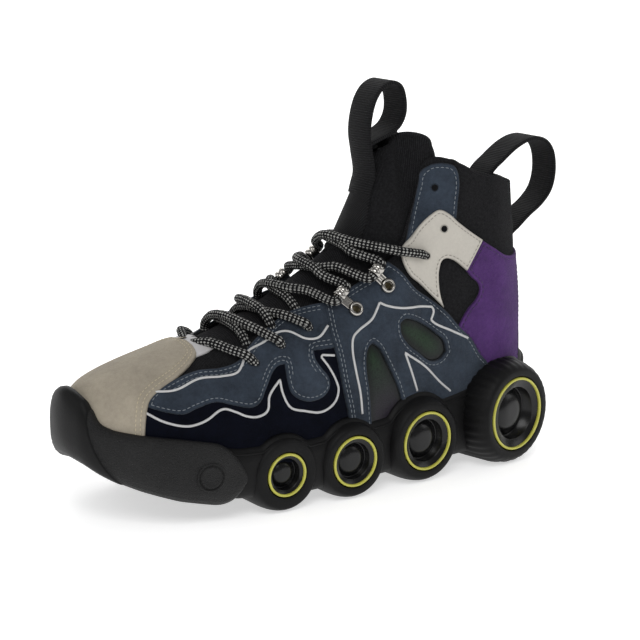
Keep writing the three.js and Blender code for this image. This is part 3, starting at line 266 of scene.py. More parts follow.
# a smooth line through points, with sharp turns kept
def smoothLine(points, step=1.2, closed=False, corner=55):
    points = np.asarray(points, float)
    count = len(points)
    segments = count if closed else count - 1
    line = []
    for k in range(segments):
        a, b = points[k], points[(k + 1) % count]
        before = points[k - 1] if closed or k > 0 else None
        after = points[(k + 2) % count] if closed or k + 2 < count else None
        chord = b - a
        size = np.linalg.norm(chord)

        def tangent(p, q, r):
            if p is None or r is None:
                return chord
            into, away = q - p, r - q
            cosine = into @ away / max(np.linalg.norm(into) * np.linalg.norm(away), 1e-9)
            if cosine < math.cos(math.radians(corner)):
                return chord
            mean = into / max(np.linalg.norm(into), 1e-9) + away / max(np.linalg.norm(away), 1e-9)
            return size * mean / max(np.linalg.norm(mean), 1e-9)
        fromA, intoB = tangent(before, a, b), tangent(a, b, after)
        steps = max(1, int(round(size / step)))
        x = (np.arange(steps) / steps)[:, None]
        line.append((2 * x**3 - 3 * x**2 + 1) * a + (3 * x**2 - 2 * x**3) * b
                    + (x**3 - 2 * x**2 + x) * fromA + (x**3 - x**2) * intoB)
    if not closed:
        line.append(points[-1:])
    return np.concatenate(line)


# the edge of the skin that a place lies on
def edgeOf(point):
    t, s = point
    if s >= 1 and t > last["ridgeRib"]:
        return "ridge"
    if t <= 0:
        return "heel"
    if t >= last["ribs"]:
        return "toe"
    return "base" if s <= 0 else None


# a line that turns from the toe edge to the ridge runs out to their corner
def withTip(line):
    tip = last["ribs"]
    near = (line[:, 0] > tip - snap["tipRibs"]) & (line[:, 1] > snap["tipRise"])
    loose = np.array([edgeOf(point) is None for point in line])
    line = line[~(near & loose)]
    for k in range(len(line)):
        pair = (edgeOf(line[k - 1]), edgeOf(line[k]))
        if pair == ("toe", "ridge"):
            return np.insert(line, k, [(tip, .999), (tip, 1)], axis=0)
        if pair == ("ridge", "toe"):
            return np.insert(line, k, [(tip, 1), (tip, .999)], axis=0)
    return line


# an outline in the side view as a closed line on the skin, stepped alike along the edges both sides share
def outlineOnSkin(shares, side, lift=0.0, step=1.2):
    line = withTip(findOnSkin(smoothLine(share(shares), step, closed=True), side, lift))
    result = []
    for k, point in enumerate(line):
        before, after = line[k - 1], line[(k + 1) % len(line)]
        edge = edgeOf(point)
        inside = edge and edgeOf(before) == edge and edgeOf(after) == edge
        if not inside:
            result.append(tuple(point))
            if edge and edgeOf(after) == edge:
                end = k + 1
                while edgeOf(line[(end + 1) % len(line)]) == edge and end < k + len(line):
                    end += 1
                goal = line[end % len(line)]
                axis = 0 if edge in ("ridge", "base") else 1
                fine = 1 / 16 if axis == 0 else 1 / 60
                low, high = sorted((point[axis], goal[axis]))
                marks = np.arange(math.ceil(low / fine + .3), high / fine - .3) * fine
                if goal[axis] < point[axis]:
                    marks = marks[::-1]
                for mark in marks:
                    result.append((mark, point[1]) if axis == 0 else (point[0], mark))
    kept = [result[0]]
    for point in result[1:]:
        if math.dist(point, kept[-1]) > 1e-4:
            kept.append(point)
    return np.array(kept if math.dist(kept[0], kept[-1]) > 1e-4 else kept[:-1])


def inPolygon(points, ring):
    a, b = ring, np.roll(ring, -1, 0)
    x, y = points[:, :1], points[:, 1:]
    spans = (a[:, 1] > y) != (b[:, 1] > y)
    slope = (b[:, 0] - a[:, 0]) / np.where(b[:, 1] == a[:, 1], 1e-9, b[:, 1] - a[:, 1])
    return (spans & (x < a[:, 0] + slope * (y - a[:, 1]))).sum(1) % 2 == 1


def distanceTo(points, starts, ends):
    best = np.full(len(points), 1e9)
    for k in range(0, len(starts), 64):
        a, along = starts[k:k + 64], ends[k:k + 64] - starts[k:k + 64]
        reach = np.maximum((along**2).sum(1), 1e-12)
        off = points[:, None] - a
        part = np.clip((off * along).sum(-1) / reach, 0, 1)
        best = np.minimum(best, np.sqrt(((off - part[..., None] * along)**2).sum(-1)).min(1))
    return best


def signedArea(ring):
    after = np.roll(ring, -1, 0)
    return .5 * (ring[:, 0] * after[:, 1] - ring[:, 1] * after[:, 0]).sum()


# a ring moved inward, as runs of places that really lie that far in
def insetRuns(ring, amount, starts, ends, inward=1):
    before, after = np.roll(ring, 1, 0), np.roll(ring, -1, 0)
    along = unit(after - before)
    turn = np.sign(signedArea(ring)) * inward
    moved = ring + amount * turn * np.stack([-along[:, 1], along[:, 0]], -1)
    good = distanceTo(moved, starts, ends) > .93 * amount
    return moved, good


# edges where the two halves of a sheet are joined are not cut edges
def sameSeam(a, b):
    onRidge = min(a[1], b[1]) >= 1 and min(a[0], b[0]) > last["ridgeRib"]
    return onRidge or max(a[0], b[0]) <= 0 or min(a[0], b[0]) >= last["ribs"]


def freeEdges(ring):
    return np.array([not sameSeam(a, b) for a, b in zip(ring, np.roll(ring, -1, 0))])


# half of a sheet: points, triangles, where it is cut, and its map
def halfSheet(side, outline, holes, top, bottom, spacing, insets):
    rings = [outline] + list(holes)
    flats = [toFlat(ring, side) for ring in rings]
    starts, ends = [], []
    for ring, flat in zip(rings, flats):
        free = freeEdges(ring)
        starts.append(flat[free])
        ends.append(np.roll(flat, -1, 0)[free])
    starts, ends = np.concatenate(starts), np.concatenate(ends)
    points, edges = [], []
    for flat in flats:
        first = len(points)
        points.extend(flat)
        edges.extend((first + k, first + (k + 1) % len(flat)) for k in range(len(flat)))
    extra = []
    for number, (ring, flat) in enumerate(zip(rings, flats)):
        for amount in insets:
            moved, good = insetRuns(flat, amount, starts, ends, 1 if number == 0 else -1)
            good &= inPolygon(moved, flats[0])
            extra.append(moved[good])
    low, high = flats[0].min(0), flats[0].max(0)
    xs = np.arange(low[0], high[0], spacing)
    ys = np.arange(low[1], high[1], spacing * .866)
    lattice = np.array([(x + (k % 2) * spacing / 2, y) for k, y in enumerate(ys) for x in xs])
    allStarts = np.concatenate(flats)
    allEnds = np.concatenate([np.roll(flat, -1, 0) for flat in flats])
    inside = inPolygon(lattice, flats[0])
    lattice = lattice[inside]
    far = distanceTo(lattice, allStarts, allEnds) > .5 * spacing
    if len(starts):
        far &= distanceTo(lattice, starts, ends) > max(insets, default=0) + .6 * spacing
    extra.append(lattice[far])
    extra = np.concatenate(extra)
    if len(extra):
        extra = extra[distanceTo(extra, allStarts, allEnds) > .25]
    for flat in flats[1:]:
        if len(extra):
            extra = extra[~inPolygon(extra, flat)]
    points.extend(extra)
    result = delaunay_2d_cdt([Vector(p) for p in points], edges, [], 0, 1e-4)
    flat = np.array([tuple(p) for p in result[0]])
    triangles = np.array([tuple(f) for f in result[2]])
    middle = flat[triangles].mean(1)
    keep = inPolygon(middle, flats[0])
    for hole in flats[1:]:
        keep &= ~inPolygon(middle, hole)
    a, b, c = (flat[triangles[:, k]] for k in range(3))
    area = (b[:, 0] - a[:, 0]) * (c[:, 1] - a[:, 1]) - (b[:, 1] - a[:, 1]) * (c[:, 0] - a[:, 0])
    triangles[area < 0] = triangles[area < 0][:, ::-1]
    triangles = triangles[keep & (abs(area) > 1e-7)]
    used = np.unique(triangles)
    number = np.full(len(flat), -1)
    number[used] = np.arange(len(used))
    flat, triangles = flat[used], number[triangles]
    deep = distanceTo(flat, starts, ends) if len(starts) else np.full(len(flat), 99.0)
    ts = fromFlat(flat, side)
    upper = onNet(ts[:, 0], ts[:, 1], side, top(deep))
    lower = onNet(ts[:, 0], ts[:, 1], side, bottom(deep))
    sides = np.concatenate([triangles[:, [0, 1]], triangles[:, [1, 2]], triangles[:, [2, 0]]])
    seen = {tuple(pair) for pair in sides.tolist()}
    count = len(flat)
    faces = [tuple(face) for face in triangles.tolist()]
    faces += [tuple(count + v for v in face[::-1]) for face in triangles.tolist()]
    for p, q in seen:
        if (q, p) not in seen:
            middle = .5 * (flat[p] + flat[q])
            if len(starts) and distanceTo(middle[None], starts, ends)[0] < .12:
                faces.append((q, p, count + p, count + q))
    if side > 0:
        faces = [face[::-1] for face in faces]
    where = np.concatenate([flat, flat]) * (1, side) / 100
    return np.concatenate([upper, lower]), faces, where, np.concatenate([deep, deep])


def addMesh(name, points, faces, where=None, deep=None, merge=0.0, recalc=False):
    mesh = bpy.data.meshes.new(name)
    mesh.from_pydata([tuple(p) for p in toWorld(points)], [], faces)
    if where is not None:
        layer = mesh.uv_layers.new(name="surface")
        corners = np.empty(len(mesh.loops), int)
        mesh.loops.foreach_get("vertex_index", corners)
        layer.data.foreach_set("uv", np.asarray(where)[corners].astype(np.float32).ravel())
    if deep is not None:
        mesh.attributes.new("rim", "FLOAT", "POINT").data.foreach_set("value", np.asarray(deep, np.float32))
    if merge or recalc:
        shape = bmesh.new()
        shape.from_mesh(mesh)
        if merge:
            bmesh.ops.remove_doubles(shape, verts=shape.verts, dist=merge / 1000)
        if recalc:
            bmesh.ops.recalc_face_normals(shape, faces=shape.faces)
        shape.to_mesh(mesh)
        shape.free()
    mesh.polygons.foreach_set("use_smooth", [True] * len(mesh.polygons))
    piece = bpy.data.objects.new(name, mesh)
    bpy.context.collection.objects.link(piece)
    return piece


def finishPiece(piece, material, nodes=()):
    piece.data.materials.clear()
    piece.data.materials.append(material)
    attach(piece, "root")
    if nodes:
        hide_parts(*nodes)
    return piece


# materials
def newFinish(name, settings=()):
    material = bpy.data.materials.new(name)
    material.use_nodes = True
    tree = material.node_tree
    shader = next(n for n in tree.nodes if n.type == "BSDF_PRINCIPLED")
    for key, value in dict(settings).items():
        shader.inputs[key].default_value = value
    return material, tree, shader


def feed(tree, socket, value):
    if isinstance(value, bpy.types.NodeSocket):
        tree.links.new(value, socket)
    else:
        socket.default_value = value


def put(tree, kind, values=None, **settings):
    node = tree.nodes.new(kind)
    for key, value in settings.items():
        setattr(node, key, value)
    for key, value in (values or {}).items():
        feed(tree, node.inputs[key], value)
    return node


def calc(tree, operation, a, b=0.0, c=0.0):
    node = put(tree, "ShaderNodeMath", operation=operation)
    for socket, value in zip(node.inputs, (a, b, c)):
        feed(tree, socket, value)
    return node.outputs[0]


def blend(tree, a, b, part):
    node = put(tree, "ShaderNodeMix", data_type="RGBA")
    for socket, value in ((node.inputs[0], part), (node.inputs[6], a), (node.inputs[7], b)):
        feed(tree, socket, value)
    return node.outputs[2]


def objectPlace(tree):
    return put(tree, "ShaderNodeTexCoord").outputs["Object"]


def noise(tree, place, scale, detail, roughness=.5):
    return put(tree, "ShaderNodeTexNoise", {"Vector": place, "Scale": scale, "Detail": detail,
                                            "Roughness": roughness}).outputs["Fac"]


def cellDistance(tree, place, scale):
    return put(tree, "ShaderNodeTexVoronoi", {"Vector": place, "Scale": scale}).outputs["Distance"]


def ramp(tree, value, low, high, lowValue=0.0, highValue=1.0):
    return put(tree, "ShaderNodeMapRange", {"Value": value, "From Min": low, "From Max": high,
                                            "To Min": lowValue, "To Max": highValue}).outputs[0]


# a piece's own map in millimetres, along and across
def surfaceMap(tree):
    uv = put(tree, "ShaderNodeUVMap", uv_map="surface").outputs[0]
    split = put(tree, "ShaderNodeSeparateXYZ", {0: uv})
    return calc(tree, "MULTIPLY", split.outputs[0], 100.0), calc(tree, "MULTIPLY", split.outputs[1], 100.0)


def attachBump(tree, shader, height, strength, distance):
    bump = put(tree, "ShaderNodeBump", {"Height": height, "Strength": strength, "Distance": distance})
    tree.links.new(bump.outputs[0], shader.inputs["Normal"])


def newGroup(name, inputs, outputs):
    group = bpy.data.node_groups.new(name, "ShaderNodeTree")
    for label, kind, value in inputs:
        group.interface.new_socket(label, in_out="INPUT", socket_type=kind).default_value = value
    for label, kind in outputs:
        group.interface.new_socket(label, in_out="OUTPUT", socket_type=kind)
    return group, group.nodes.new("NodeGroupInput"), group.nodes.new("NodeGroupOutput")


number, colour = "NodeSocketFloat", "NodeSocketColor"


# brushed nap, darker at the cut edge
def makeNapGroup():
    group, start, end = newGroup("brushedNap", [
        ("Colour", colour, (.5, .5, .5, 1)), ("Patch Size", number, 60.0), ("Mottle", number, .25),
        ("Grain", number, 2600.0), ("Edge Dark", number, .35)],
        [("Colour", colour), ("Roughness", number), ("Height", number)])
    place = objectPlace(group)
    patches = noise(group, place, start.outputs["Patch Size"], 5.0, .62)
    strokes = noise(group, place, 520.0, 3.0)
    fine = noise(group, place, start.outputs["Grain"], 3.0, .7)
    mixed = calc(group, "MULTIPLY_ADD", strokes, .22, calc(group, "MULTIPLY", fine, .28))
    mixed = calc(group, "MULTIPLY_ADD", patches, .5, mixed)
    swing = calc(group, "MULTIPLY", calc(group, "SUBTRACT", mixed, .5), start.outputs["Mottle"])
    tone = calc(group, "MULTIPLY_ADD", swing, 4.0, 1.0)
    rim = put(group, "ShaderNodeAttribute", attribute_name="rim").outputs["Fac"]
    cut = ramp(group, rim, 0.0, .8, 1.0, 0.0)
    shade = calc(group, "SUBTRACT", tone, calc(group, "MULTIPLY", cut, start.outputs["Edge Dark"]))
    shaded = put(group, "ShaderNodeVectorMath", {0: start.outputs["Colour"]}, operation="SCALE")
    feed(group, shaded.inputs["Scale"], shade)
    feed(group, end.inputs["Colour"], shaded.outputs[0])
    feed(group, end.inputs["Roughness"], calc(group, "MULTIPLY_ADD", strokes, .2, .78))
    softer = calc(group, "MULTIPLY", strokes, .5)
    feed(group, end.inputs["Height"], calc(group, "MULTIPLY_ADD", fine, .7, softer))
    return group


# rows of small loops, slanted from wale to wale, their raised crests painted lighter as a painted highlight
def makeKnitGroup():
    group, start, end = newGroup("knitLoops", [
        ("Colour", colour, (.02, .02, .02, 1)), ("Light", colour, (.05, .05, .055, 1)), ("Wale", number, 1.0),
        ("Slant", number, .6)],
        [("Colour", colour), ("Height", number)])
    x, y = (calc(group, "DIVIDE", value, start.outputs["Wale"]) for value in surfaceMap(group))
    column = calc(group, "ABSOLUTE", calc(group, "SUBTRACT", calc(group, "FRACT", x), .5))
    slanted = calc(group, "MULTIPLY_ADD", column, start.outputs["Slant"], y)
    row = calc(group, "ABSOLUTE", calc(group, "SUBTRACT", calc(group, "FRACT", slanted), .5))
    bumps = [calc(group, "SINE", calc(group, "MULTIPLY", value, 2 * math.pi)) for value in (column, row)]
    loop = calc(group, "MAXIMUM", calc(group, "MULTIPLY", *bumps), 0.0)
    height = calc(group, "POWER", loop, .6)
    fuzz = noise(group, objectPlace(group), 900.0, 4.0)
    # the raised loop crests are painted lighter: a painted highlight, not a yarn colour
    highlightMask = calc(group, "MULTIPLY", height, fuzz)
    tone = blend(group, start.outputs["Colour"], start.outputs["Light"], highlightMask)
    feed(group, end.inputs["Colour"], tone)
    feed(group, end.inputs["Height"], calc(group, "MULTIPLY_ADD", fuzz, .3, height))
    return group


# fine moulded cells with a lighter haze, partly dust and partly painted sheen
def makeGrainGroup():
    group, start, end = newGroup("mouldedGrain", [
        ("Scale", number, 700.0), ("Dust And Sheen", number, .3), ("Colour", colour, (.02, .02, .02, 1))],
        [("Colour", colour), ("Roughness", number), ("Height", number)])
    place = objectPlace(group)
    cells = cellDistance(group, place, start.outputs["Scale"])
    cloud = noise(group, place, 45.0, 6.0)
    fine = noise(group, place, 1900.0, 2.0)
    # the lighter haze in slow clouds is partly dust and partly painted sheen
    dustAndSheenHaze = calc(group, "MULTIPLY", calc(group, "POWER", cloud, 2.0), start.outputs["Dust And Sheen"])
    tone = calc(group, "ADD", calc(group, "MULTIPLY", dustAndSheenHaze, .3), calc(group, "MULTIPLY", fine, .012))
    lifted = put(group, "ShaderNodeVectorMath", {0: start.outputs["Colour"]}, operation="ADD")
    feed(group, lifted.inputs[1], calc(group, "MULTIPLY", tone, .12))
    feed(group, end.inputs["Colour"], lifted.outputs[0])
    feed(group, end.inputs["Roughness"], calc(group, "MULTIPLY_ADD", cloud, .25, .38))
    feed(group, end.inputs["Height"], calc(group, "MULTIPLY_ADD", cells, -1.0, fine))
    return group


napGroup, knitGroup, grainGroup = makeNapGroup(), makeKnitGroup(), makeGrainGroup()


def suede(name, tint, mottle, patch, grain=2600.0, edge=.3, sheen=.08, bump=1.0, shine=.12):
    material, tree, shader = newFinish(name, {"Sheen Weight": sheen, "Sheen Roughness": .45,
                                              "Specular IOR Level": shine})
    values = {"Colour": (*tint, 1), "Mottle": mottle, "Patch Size": patch, "Grain": grain, "Edge Dark": edge}
    nap = put(tree, "ShaderNodeGroup", values, node_tree=napGroup)
    feed(tree, shader.inputs["Base Color"], nap.outputs["Colour"])
    feed(tree, shader.inputs["Roughness"], nap.outputs["Roughness"])
    attachBump(tree, shader, nap.outputs["Height"], bump, .0006)
    return material


def knit(name, tint, crestHighlight, wale, slant, sheen=.01):
    settings = {"Roughness": .9, "Sheen Weight": sheen, "Specular IOR Level": .12}
    material, tree, shader = newFinish(name, settings)
    values = {"Colour": (*tint, 1), "Light": (*crestHighlight, 1), "Wale": wale, "Slant": slant}
    loops = put(tree, "ShaderNodeGroup", values, node_tree=knitGroup)
    feed(tree, shader.inputs["Base Color"], loops.outputs["Colour"])
    attachBump(tree, shader, loops.outputs["Height"], .9, .0007)
    return material


def rubber(name, tint, scale, dustAndSheen, bump, shine, roughness=None):
    material, tree, shader = newFinish(name, {"Specular IOR Level": shine})
    values = {"Colour": (*tint, 1), "Scale": scale, "Dust And Sheen": dustAndSheen}
    grain = put(tree, "ShaderNodeGroup", values, node_tree=grainGroup)
    feed(tree, shader.inputs["Base Color"], grain.outputs["Colour"])
    feed(tree, shader.inputs["Roughness"], grain.outputs["Roughness"] if roughness is None else roughness)
    attachBump(tree, shader, grain.outputs["Height"], bump, .0004)
    return material


def plain(name, tint, roughness=.6, metal=0.0, coat=0.0, sheen=0.0):
    material, tree, shader = newFinish(name, {"Metallic": metal, "Coat Weight": coat, "Sheen Weight": sheen})
    cloud = noise(tree, objectPlace(tree), 350.0, 4.0)
    darker = tuple(.82 * c for c in tint) + (1,)
    feed(tree, shader.inputs["Base Color"], blend(tree, darker, (*tint, 1), cloud))
    feed(tree, shader.inputs["Roughness"], calc(tree, "MULTIPLY_ADD", cloud, .12, roughness - .06))
    return material


# ribbed webbing: ribs across the strap, or up a sewn panel, with the raised ribs and threads painted lighter
# as a painted highlight
def webbingFinish(name, pitch, upward):
    material, tree, shader = newFinish(name, {"Roughness": .8, "Specular IOR Level": .2})
    ways = surfaceMap(tree)
    rib = calc(tree, "SINE", calc(tree, "MULTIPLY", ways[upward], 2 * math.pi / pitch))
    thread = calc(tree, "SINE", calc(tree, "MULTIPLY", ways[1 - upward], 2 * math.pi / .7))
    raised = calc(tree, "MULTIPLY_ADD", rib, .4, calc(tree, "MULTIPLY_ADD", thread, .12, .5))
    fuzz = noise(tree, objectPlace(tree), 1400.0, 3.0)
    # the raised ribs and threads are painted lighter: a painted highlight on black webbing
    tone = blend(tree, (.0025, .0025, .003, 1), (.024, .024, .026, 1), calc(tree, "MULTIPLY", raised, fuzz))
    feed(tree, shader.inputs["Base Color"], tone)
    attachBump(tree, shader, raised, .7, .0005)
    return material


# film over a fine mesh, plum below and green above
def filmFinish():
    material, tree, shader = newFinish("greenFilm", {"Roughness": .35, "Specular IOR Level": .3})
    place = objectPlace(tree)
    height = put(tree, "ShaderNodeSeparateXYZ", {0: place}).outputs[2]
    rise = calc(tree, "MULTIPLY_ADD", noise(tree, place, 60.0, 3.0), .02, height)
    tone = blend(tree, (.016, .010, .022, 1), (.016, .044, .018, 1), ramp(tree, rise, .055, .085))
    mesh = cellDistance(tree, place, 1200.0)
    rim = put(tree, "ShaderNodeAttribute", attribute_name="rim").outputs["Fac"]
    tone = blend(tree, (.004, .006, .006, 1), tone, ramp(tree, rim, 1.0, 6.0))
    tone = blend(tree, tone, (.003, .004, .004, 1), calc(tree, "MULTIPLY", mesh, .8))
    feed(tree, shader.inputs["Base Color"], tone)
    attachBump(tree, shader, mesh, .3, .0003)
    return material


# round braid, black with pale crossings
def cordFinish(girth):
    material, tree, shader = newFinish("fleckedCord", {"Roughness": .85, "Specular IOR Level": .15})
    along, across = surfaceMap(tree)
    around = calc(tree, "DIVIDE", across, girth)
    lay = calc(tree, "DIVIDE", along, 2.1)
    twists = []
    for strands in (9.0, -9.0):
        angle = calc(tree, "MULTIPLY_ADD", around, strands, lay)
        twists.append(calc(tree, "SINE", calc(tree, "MULTIPLY", angle, math.pi)))
    cell = calc(tree, "MULTIPLY", *twists)
    place = objectPlace(tree)
    uneven = calc(tree, "ADD", cell, calc(tree, "MULTIPLY_ADD", noise(tree, place, 420.0, 2.0), 1.4, -.7))
    fuzz = noise(tree, place, 1500.0, 3.0)
    body = blend(tree, (.003, .003, .004, 1), (.012, .012, .013, 1), fuzz)
    pale = blend(tree, (.22, .22, .21, 1), (.50, .50, .48, 1), fuzz)
    feed(tree, shader.inputs["Base Color"], blend(tree, body, pale, ramp(tree, uneven, .26, .42)))
    attachBump(tree, shader, calc(tree, "ADD", calc(tree, "ABSOLUTE", cell), fuzz), .6, .0004)
    return material


blackYarn = (.0012, .0012, .0018)
cordDiameter = 4.9
finishes = {
    "beige": suede("beigeSuede", (.390, .345, .275), .30, 55.0, grain=2400.0),
    "pale": suede("paleSuede", (.58, .57, .575), .15, 60.0, edge=.2, sheen=.1, bump=.5),
    "blue": suede("blueSuede", (.034, .045, .063), .85, 50.0, edge=.45, sheen=.10),
    "navy": suede("navySuede", (.0028, .0036, .0080), .8, 60.0, grain=2800.0, sheen=.02, bump=.6, shine=.06),
    "purple": suede("purpleSuede", (.080, .030, .145), .62, 55.0, edge=.4, sheen=.09),
    "bone": suede("boneLeather", (.56, .53, .475), .12, 40.0, grain=900.0, edge=.35, sheen=.0, bump=.25,
                  shine=.4),
    # the second colour of each knit is the painted highlight on its loop crests
    "knit": knit("sockKnit", blackYarn, (.055, .055, .06), 1.5, .8),
    "tongueKnit": knit("tongueKnit", blackYarn, (.055, .055, .06), 2.0, 2.0),
    "lining": knit("liningKnit", blackYarn, (.045, .045, .05), 1.3, .5),
    "smooth": knit("smoothCloth", (.004, .004, .006), (.010, .010, .012), .6, .5, sheen=.02),
    # the third number of each rubber is its haze of dust and painted sheen
    "rubber": rubber("soleRubber", (.0022, .0022, .0025), 900.0, .22, .10, .16),
    "rubberGrain": rubber("grainRubber", (.0045, .0045, .0048), 1300.0, .5, 1.0, .26, roughness=.45),
    "hub": rubber("hubRubber", (.0025, .0025, .003), 900.0, .05, .0, .34, roughness=.26),
    "ring": plain("ringPaint", (.60, .58, .085), .35, coat=.2),
    "film": filmFinish(),
    "webbing": webbingFinish("ribbedWebbing", 1.3, 0),
    "band": webbingFinish("ribbedBand", 1.7, 1),
    "nickel": plain("polishedNickel", (.50, .48, .45), .18, metal=1.0),
    "dark": plain("rivetWell", (.05, .04, .02), .4, metal=.8),
    "piping": plain("palePiping", (.62, .62, .62), sheen=.1),
    "tan": plain("tanThread", (.66, .58, .40), sheen=.1),
    "blueThread": plain("blueThread", (.22, .25, .28), sheen=.1),
    "purpleThread": plain("purpleThread", (.035, .012, .065), sheen=.1),
    "boneThread": plain("boneThread", (.26, .24, .21), sheen=.1),
    "cord": cordFinish(cordDiameter * math.pi),
}
print("materials ready")

# panels, outlines in shares of the shoe's length and shaft height in the side view
collarLine = [(.296, .850), (.270, .846), (.235, .822), (.207, .800), (.167, .783), (.110, .763),
              (.040, .757)]
throatLine = [(.775, .60), (.762, .47), (.738, .425), (.712, .407), (.683, .420), (.633, .457),
              (.593, .483), (.523, .500), (.490, .520), (.450, .548), (.420, .572), (.383, .604),
              (.363, .642), (.330, .717), (.315, .790), (.306, .838)]
quarterSeam = [(.531, .502), (.537, .430), (.534, .370), (.532, .300), (.526, .220), (.524, .120)]
quarterTop = [(.190, .190), (.190, .273), (.213, .312), (.233, .356), (.260, .395), (.290, .444),
              (.323, .483), (.353, .517), (.380, .566), (.400, .590), (.420, .572), (.450, .548),
              (.490, .520)]
outlines = {
    "sock": throatLine + collarLine + [(-.2, .757), (-.2, .05), (1.2, .05), (1.2, .6)],
    "toeCap": [(.770, .600), (.770, .440), (.777, .410), (.793, .394), (.837, .362), (.870, .340),
               (.893, .316), (.903, .290), (.912, .240), (.914, .120), (1.1, .12), (1.1, .60)],
    "throatTab": [(.785, .560), (.765, .470), (.745, .425), (.742, .414), (.760, .405), (.786, .398),
                  (.815, .395), (.83, .42), (.83, .56)],
    "vamp": [(.893, .322), (.880, .336), (.847, .356), (.797, .374), (.750, .376), (.717, .386),
             (.683, .418), (.633, .457), (.593, .483), (.528, .500), (.500, .500), (.500, .390),
             (.534, .390), (.575, .390), (.576, .372), (.568, .348), (.556, .318), (.560, .292),
             (.580, .273), (.613, .273), (.636, .296), (.640, .325), (.637, .368), (.652, .364),
             (.683, .317), (.700, .287), (.717, .278), (.747, .288), (.780, .302), (.817, .293),
             (.843, .283), (.873, .292), (.897, .305)],
    "rand": [(.930, .330), (.830, .320), (.720, .310), (.655, .385), (.570, .400), (.505, .400),
             (.505, .120), (.930, .120)],
    "quarter": quarterSeam + [(.190, .12)] + quarterTop,
    "frontWindow": [(.470, .100), (.475, .205), (.475, .280), (.476, .325), (.473, .355), (.465, .380),
                    (.456, .388), (.445, .375), (.433, .340), (.422, .306), (.411, .270), (.401, .218),
                    (.392, .160), (.390, .100)],
    "rearWindow": [(.382, .437), (.362, .431), (.337, .412), (.316, .388), (.299, .364), (.294, .335),
                   (.307, .318), (.330, .317), (.358, .347), (.380, .374), (.393, .404), (.393, .427)],
    "wing": [(.280, .705), (.293, .713), (.305, .704), (.339, .653), (.371, .621), (.373, .590),
             (.361, .550), (.340, .524), (.318, .489), (.295, .453), (.301, .490), (.302, .530),
             (.300, .554), (.292, .580), (.282, .583), (.243, .545), (.205, .622), (.232, .648),
             (.257, .675)],
    "counter": [(.243, .545), (.203, .620), (.172, .593), (.144, .570), (.115, .561), (.04, .576),
                (.04, .530), (.084, .505), (.092, .160), (.205, .160), (.205, .268), (.262, .395),
                (.239, .440), (.221, .460), (.211, .481), (.213, .502), (.229, .523)],
    "band": [(.388, .785), (.400, .735), (.412, .685), (.428, .640), (.437, .612), (.62, .612),
             (.60, .785)],
    "collarTab": [(.370, .600), (.330, .717), (.318, .780), (.313, .815), (.300, .832), (.280, .835),
                  (.262, .826), (.254, .800), (.257, .730), (.267, .660), (.300, .620)],
    "backstay": [(-.02, .180), (.100, .180), (.092, .512), (-.02, .540)],
    "tongue": [(.800, .600), (.800, .370), (.710, .335), (.633, .380), (.533, .425), (.467, .460),
               (.407, .500), (.347, .550), (.307, .630), (.288, .740), (.284, .820), (.290, .875),
               (.304, .908), (.328, .910), (.350, .885), (.375, .868), (.450, .868), (.550, .800)],
}


# a sheet over the skin; both sides are joined where it crosses the ridge, the heel or the toe
def addSheet(name, outline, sides, top, bottom, edge, spacing=2.2, insets=(.3, .7, 1.2), holes=(), swap=None):
    points, faces, where, deep = [], [], [], []
    for side in sides:
        ring = outlineOnSkin(outlines[outline], side, top)
        gaps = [outlineOnSkin(outlines[hole], side, top) for hole in holes]
        upperLift = edge(top, bottom)
        lowerLift = (swap or flatUnder)(top, bottom)
        part = halfSheet(side, ring, gaps, upperLift, lowerLift, spacing, insets)
        first = sum(len(p) for p in points)
        points.append(part[0])
        faces.extend(tuple(first + v for v in face) for face in part[1])
        where.append(part[2])
        deep.append(part[3])
    points, where, deep = (np.concatenate(parts) for parts in (points, where, deep))
    return addMesh(name, points, faces, where, deep, merge=.06)


# sheet edges: cut square with a worn corner and stitch grooves, or round for padding
def cutEdge(round=.9, groove=(), sink=.22):
    def make(top, bottom):
        def lift(deep):
            part = np.clip(deep / round, 0, 1)
            height = bottom + (top - bottom) * (.45 + .55 * np.sqrt(1 - (1 - part)**2))
            for row in groove:
                height = height - sink * np.exp(-((deep - row) / .55)**2)
            return height
        return lift
    return make


def flatUnder(top, bottom):
    return lambda deep: np.full(len(deep), bottom)


def roundOver(round):
    def make(top, bottom):
        def lift(deep):
            part = np.clip(deep / round, 0, 1)
            return .5 * (top + bottom) + .5 * (top - bottom) * np.sqrt(1 - (1 - part)**2)
        return lift
    return make


def roundUnder(round):
    def make(top, bottom):
        def lift(deep):
            part = np.clip(deep / round, 0, 1)
            return .5 * (top + bottom) - .5 * (top - bottom) * np.sqrt(1 - (1 - part)**2)
        return lift
    return make


both = (1, -1)
words = {1: "outer", -1: "inner"}
lifts = {"sock": 0.0, "rand": 1.0, "tab": 1.2, "backstay": 1.2, "collarTab": 1.4, "counter": 1.4, "vamp": 1.8,
         "quarter": 2.1, "toeCap": 2.4, "wing": 2.8, "window": .8}

oneRow = (.3, .7, 1.3, 2.0, 2.7)
twoRows = (.3, .7, 1.2, 1.7, 2.2, 2.7, 3.3, 3.9, 4.4, 4.9)
sock = addSheet("sock", "sock", both, lifts["sock"], -2.0, roundOver(1.0), 2.6, (.3, .7, 1.3),
                swap=roundUnder(1.0))
finishPiece(sock, finishes["knit"], ["upper"])
toeCap = addSheet("toeCap", "toeCap", both, lifts["toeCap"], .2, cutEdge(1.0, (2.2, 4.4)), 1.8, twoRows)
finishPiece(toeCap, finishes["beige"], ["toe_cap"])
throatTab = addSheet("throatTab", "throatTab", both, lifts["tab"], .1, cutEdge(.8), 1.8)
finishPiece(throatTab, finishes["pale"], ["throat_tab"])
backstay = addSheet("backstay", "backstay", both, lifts["backstay"], .1, cutEdge(.8), 2.4)
finishPiece(backstay, finishes["smooth"], ["backstay"])
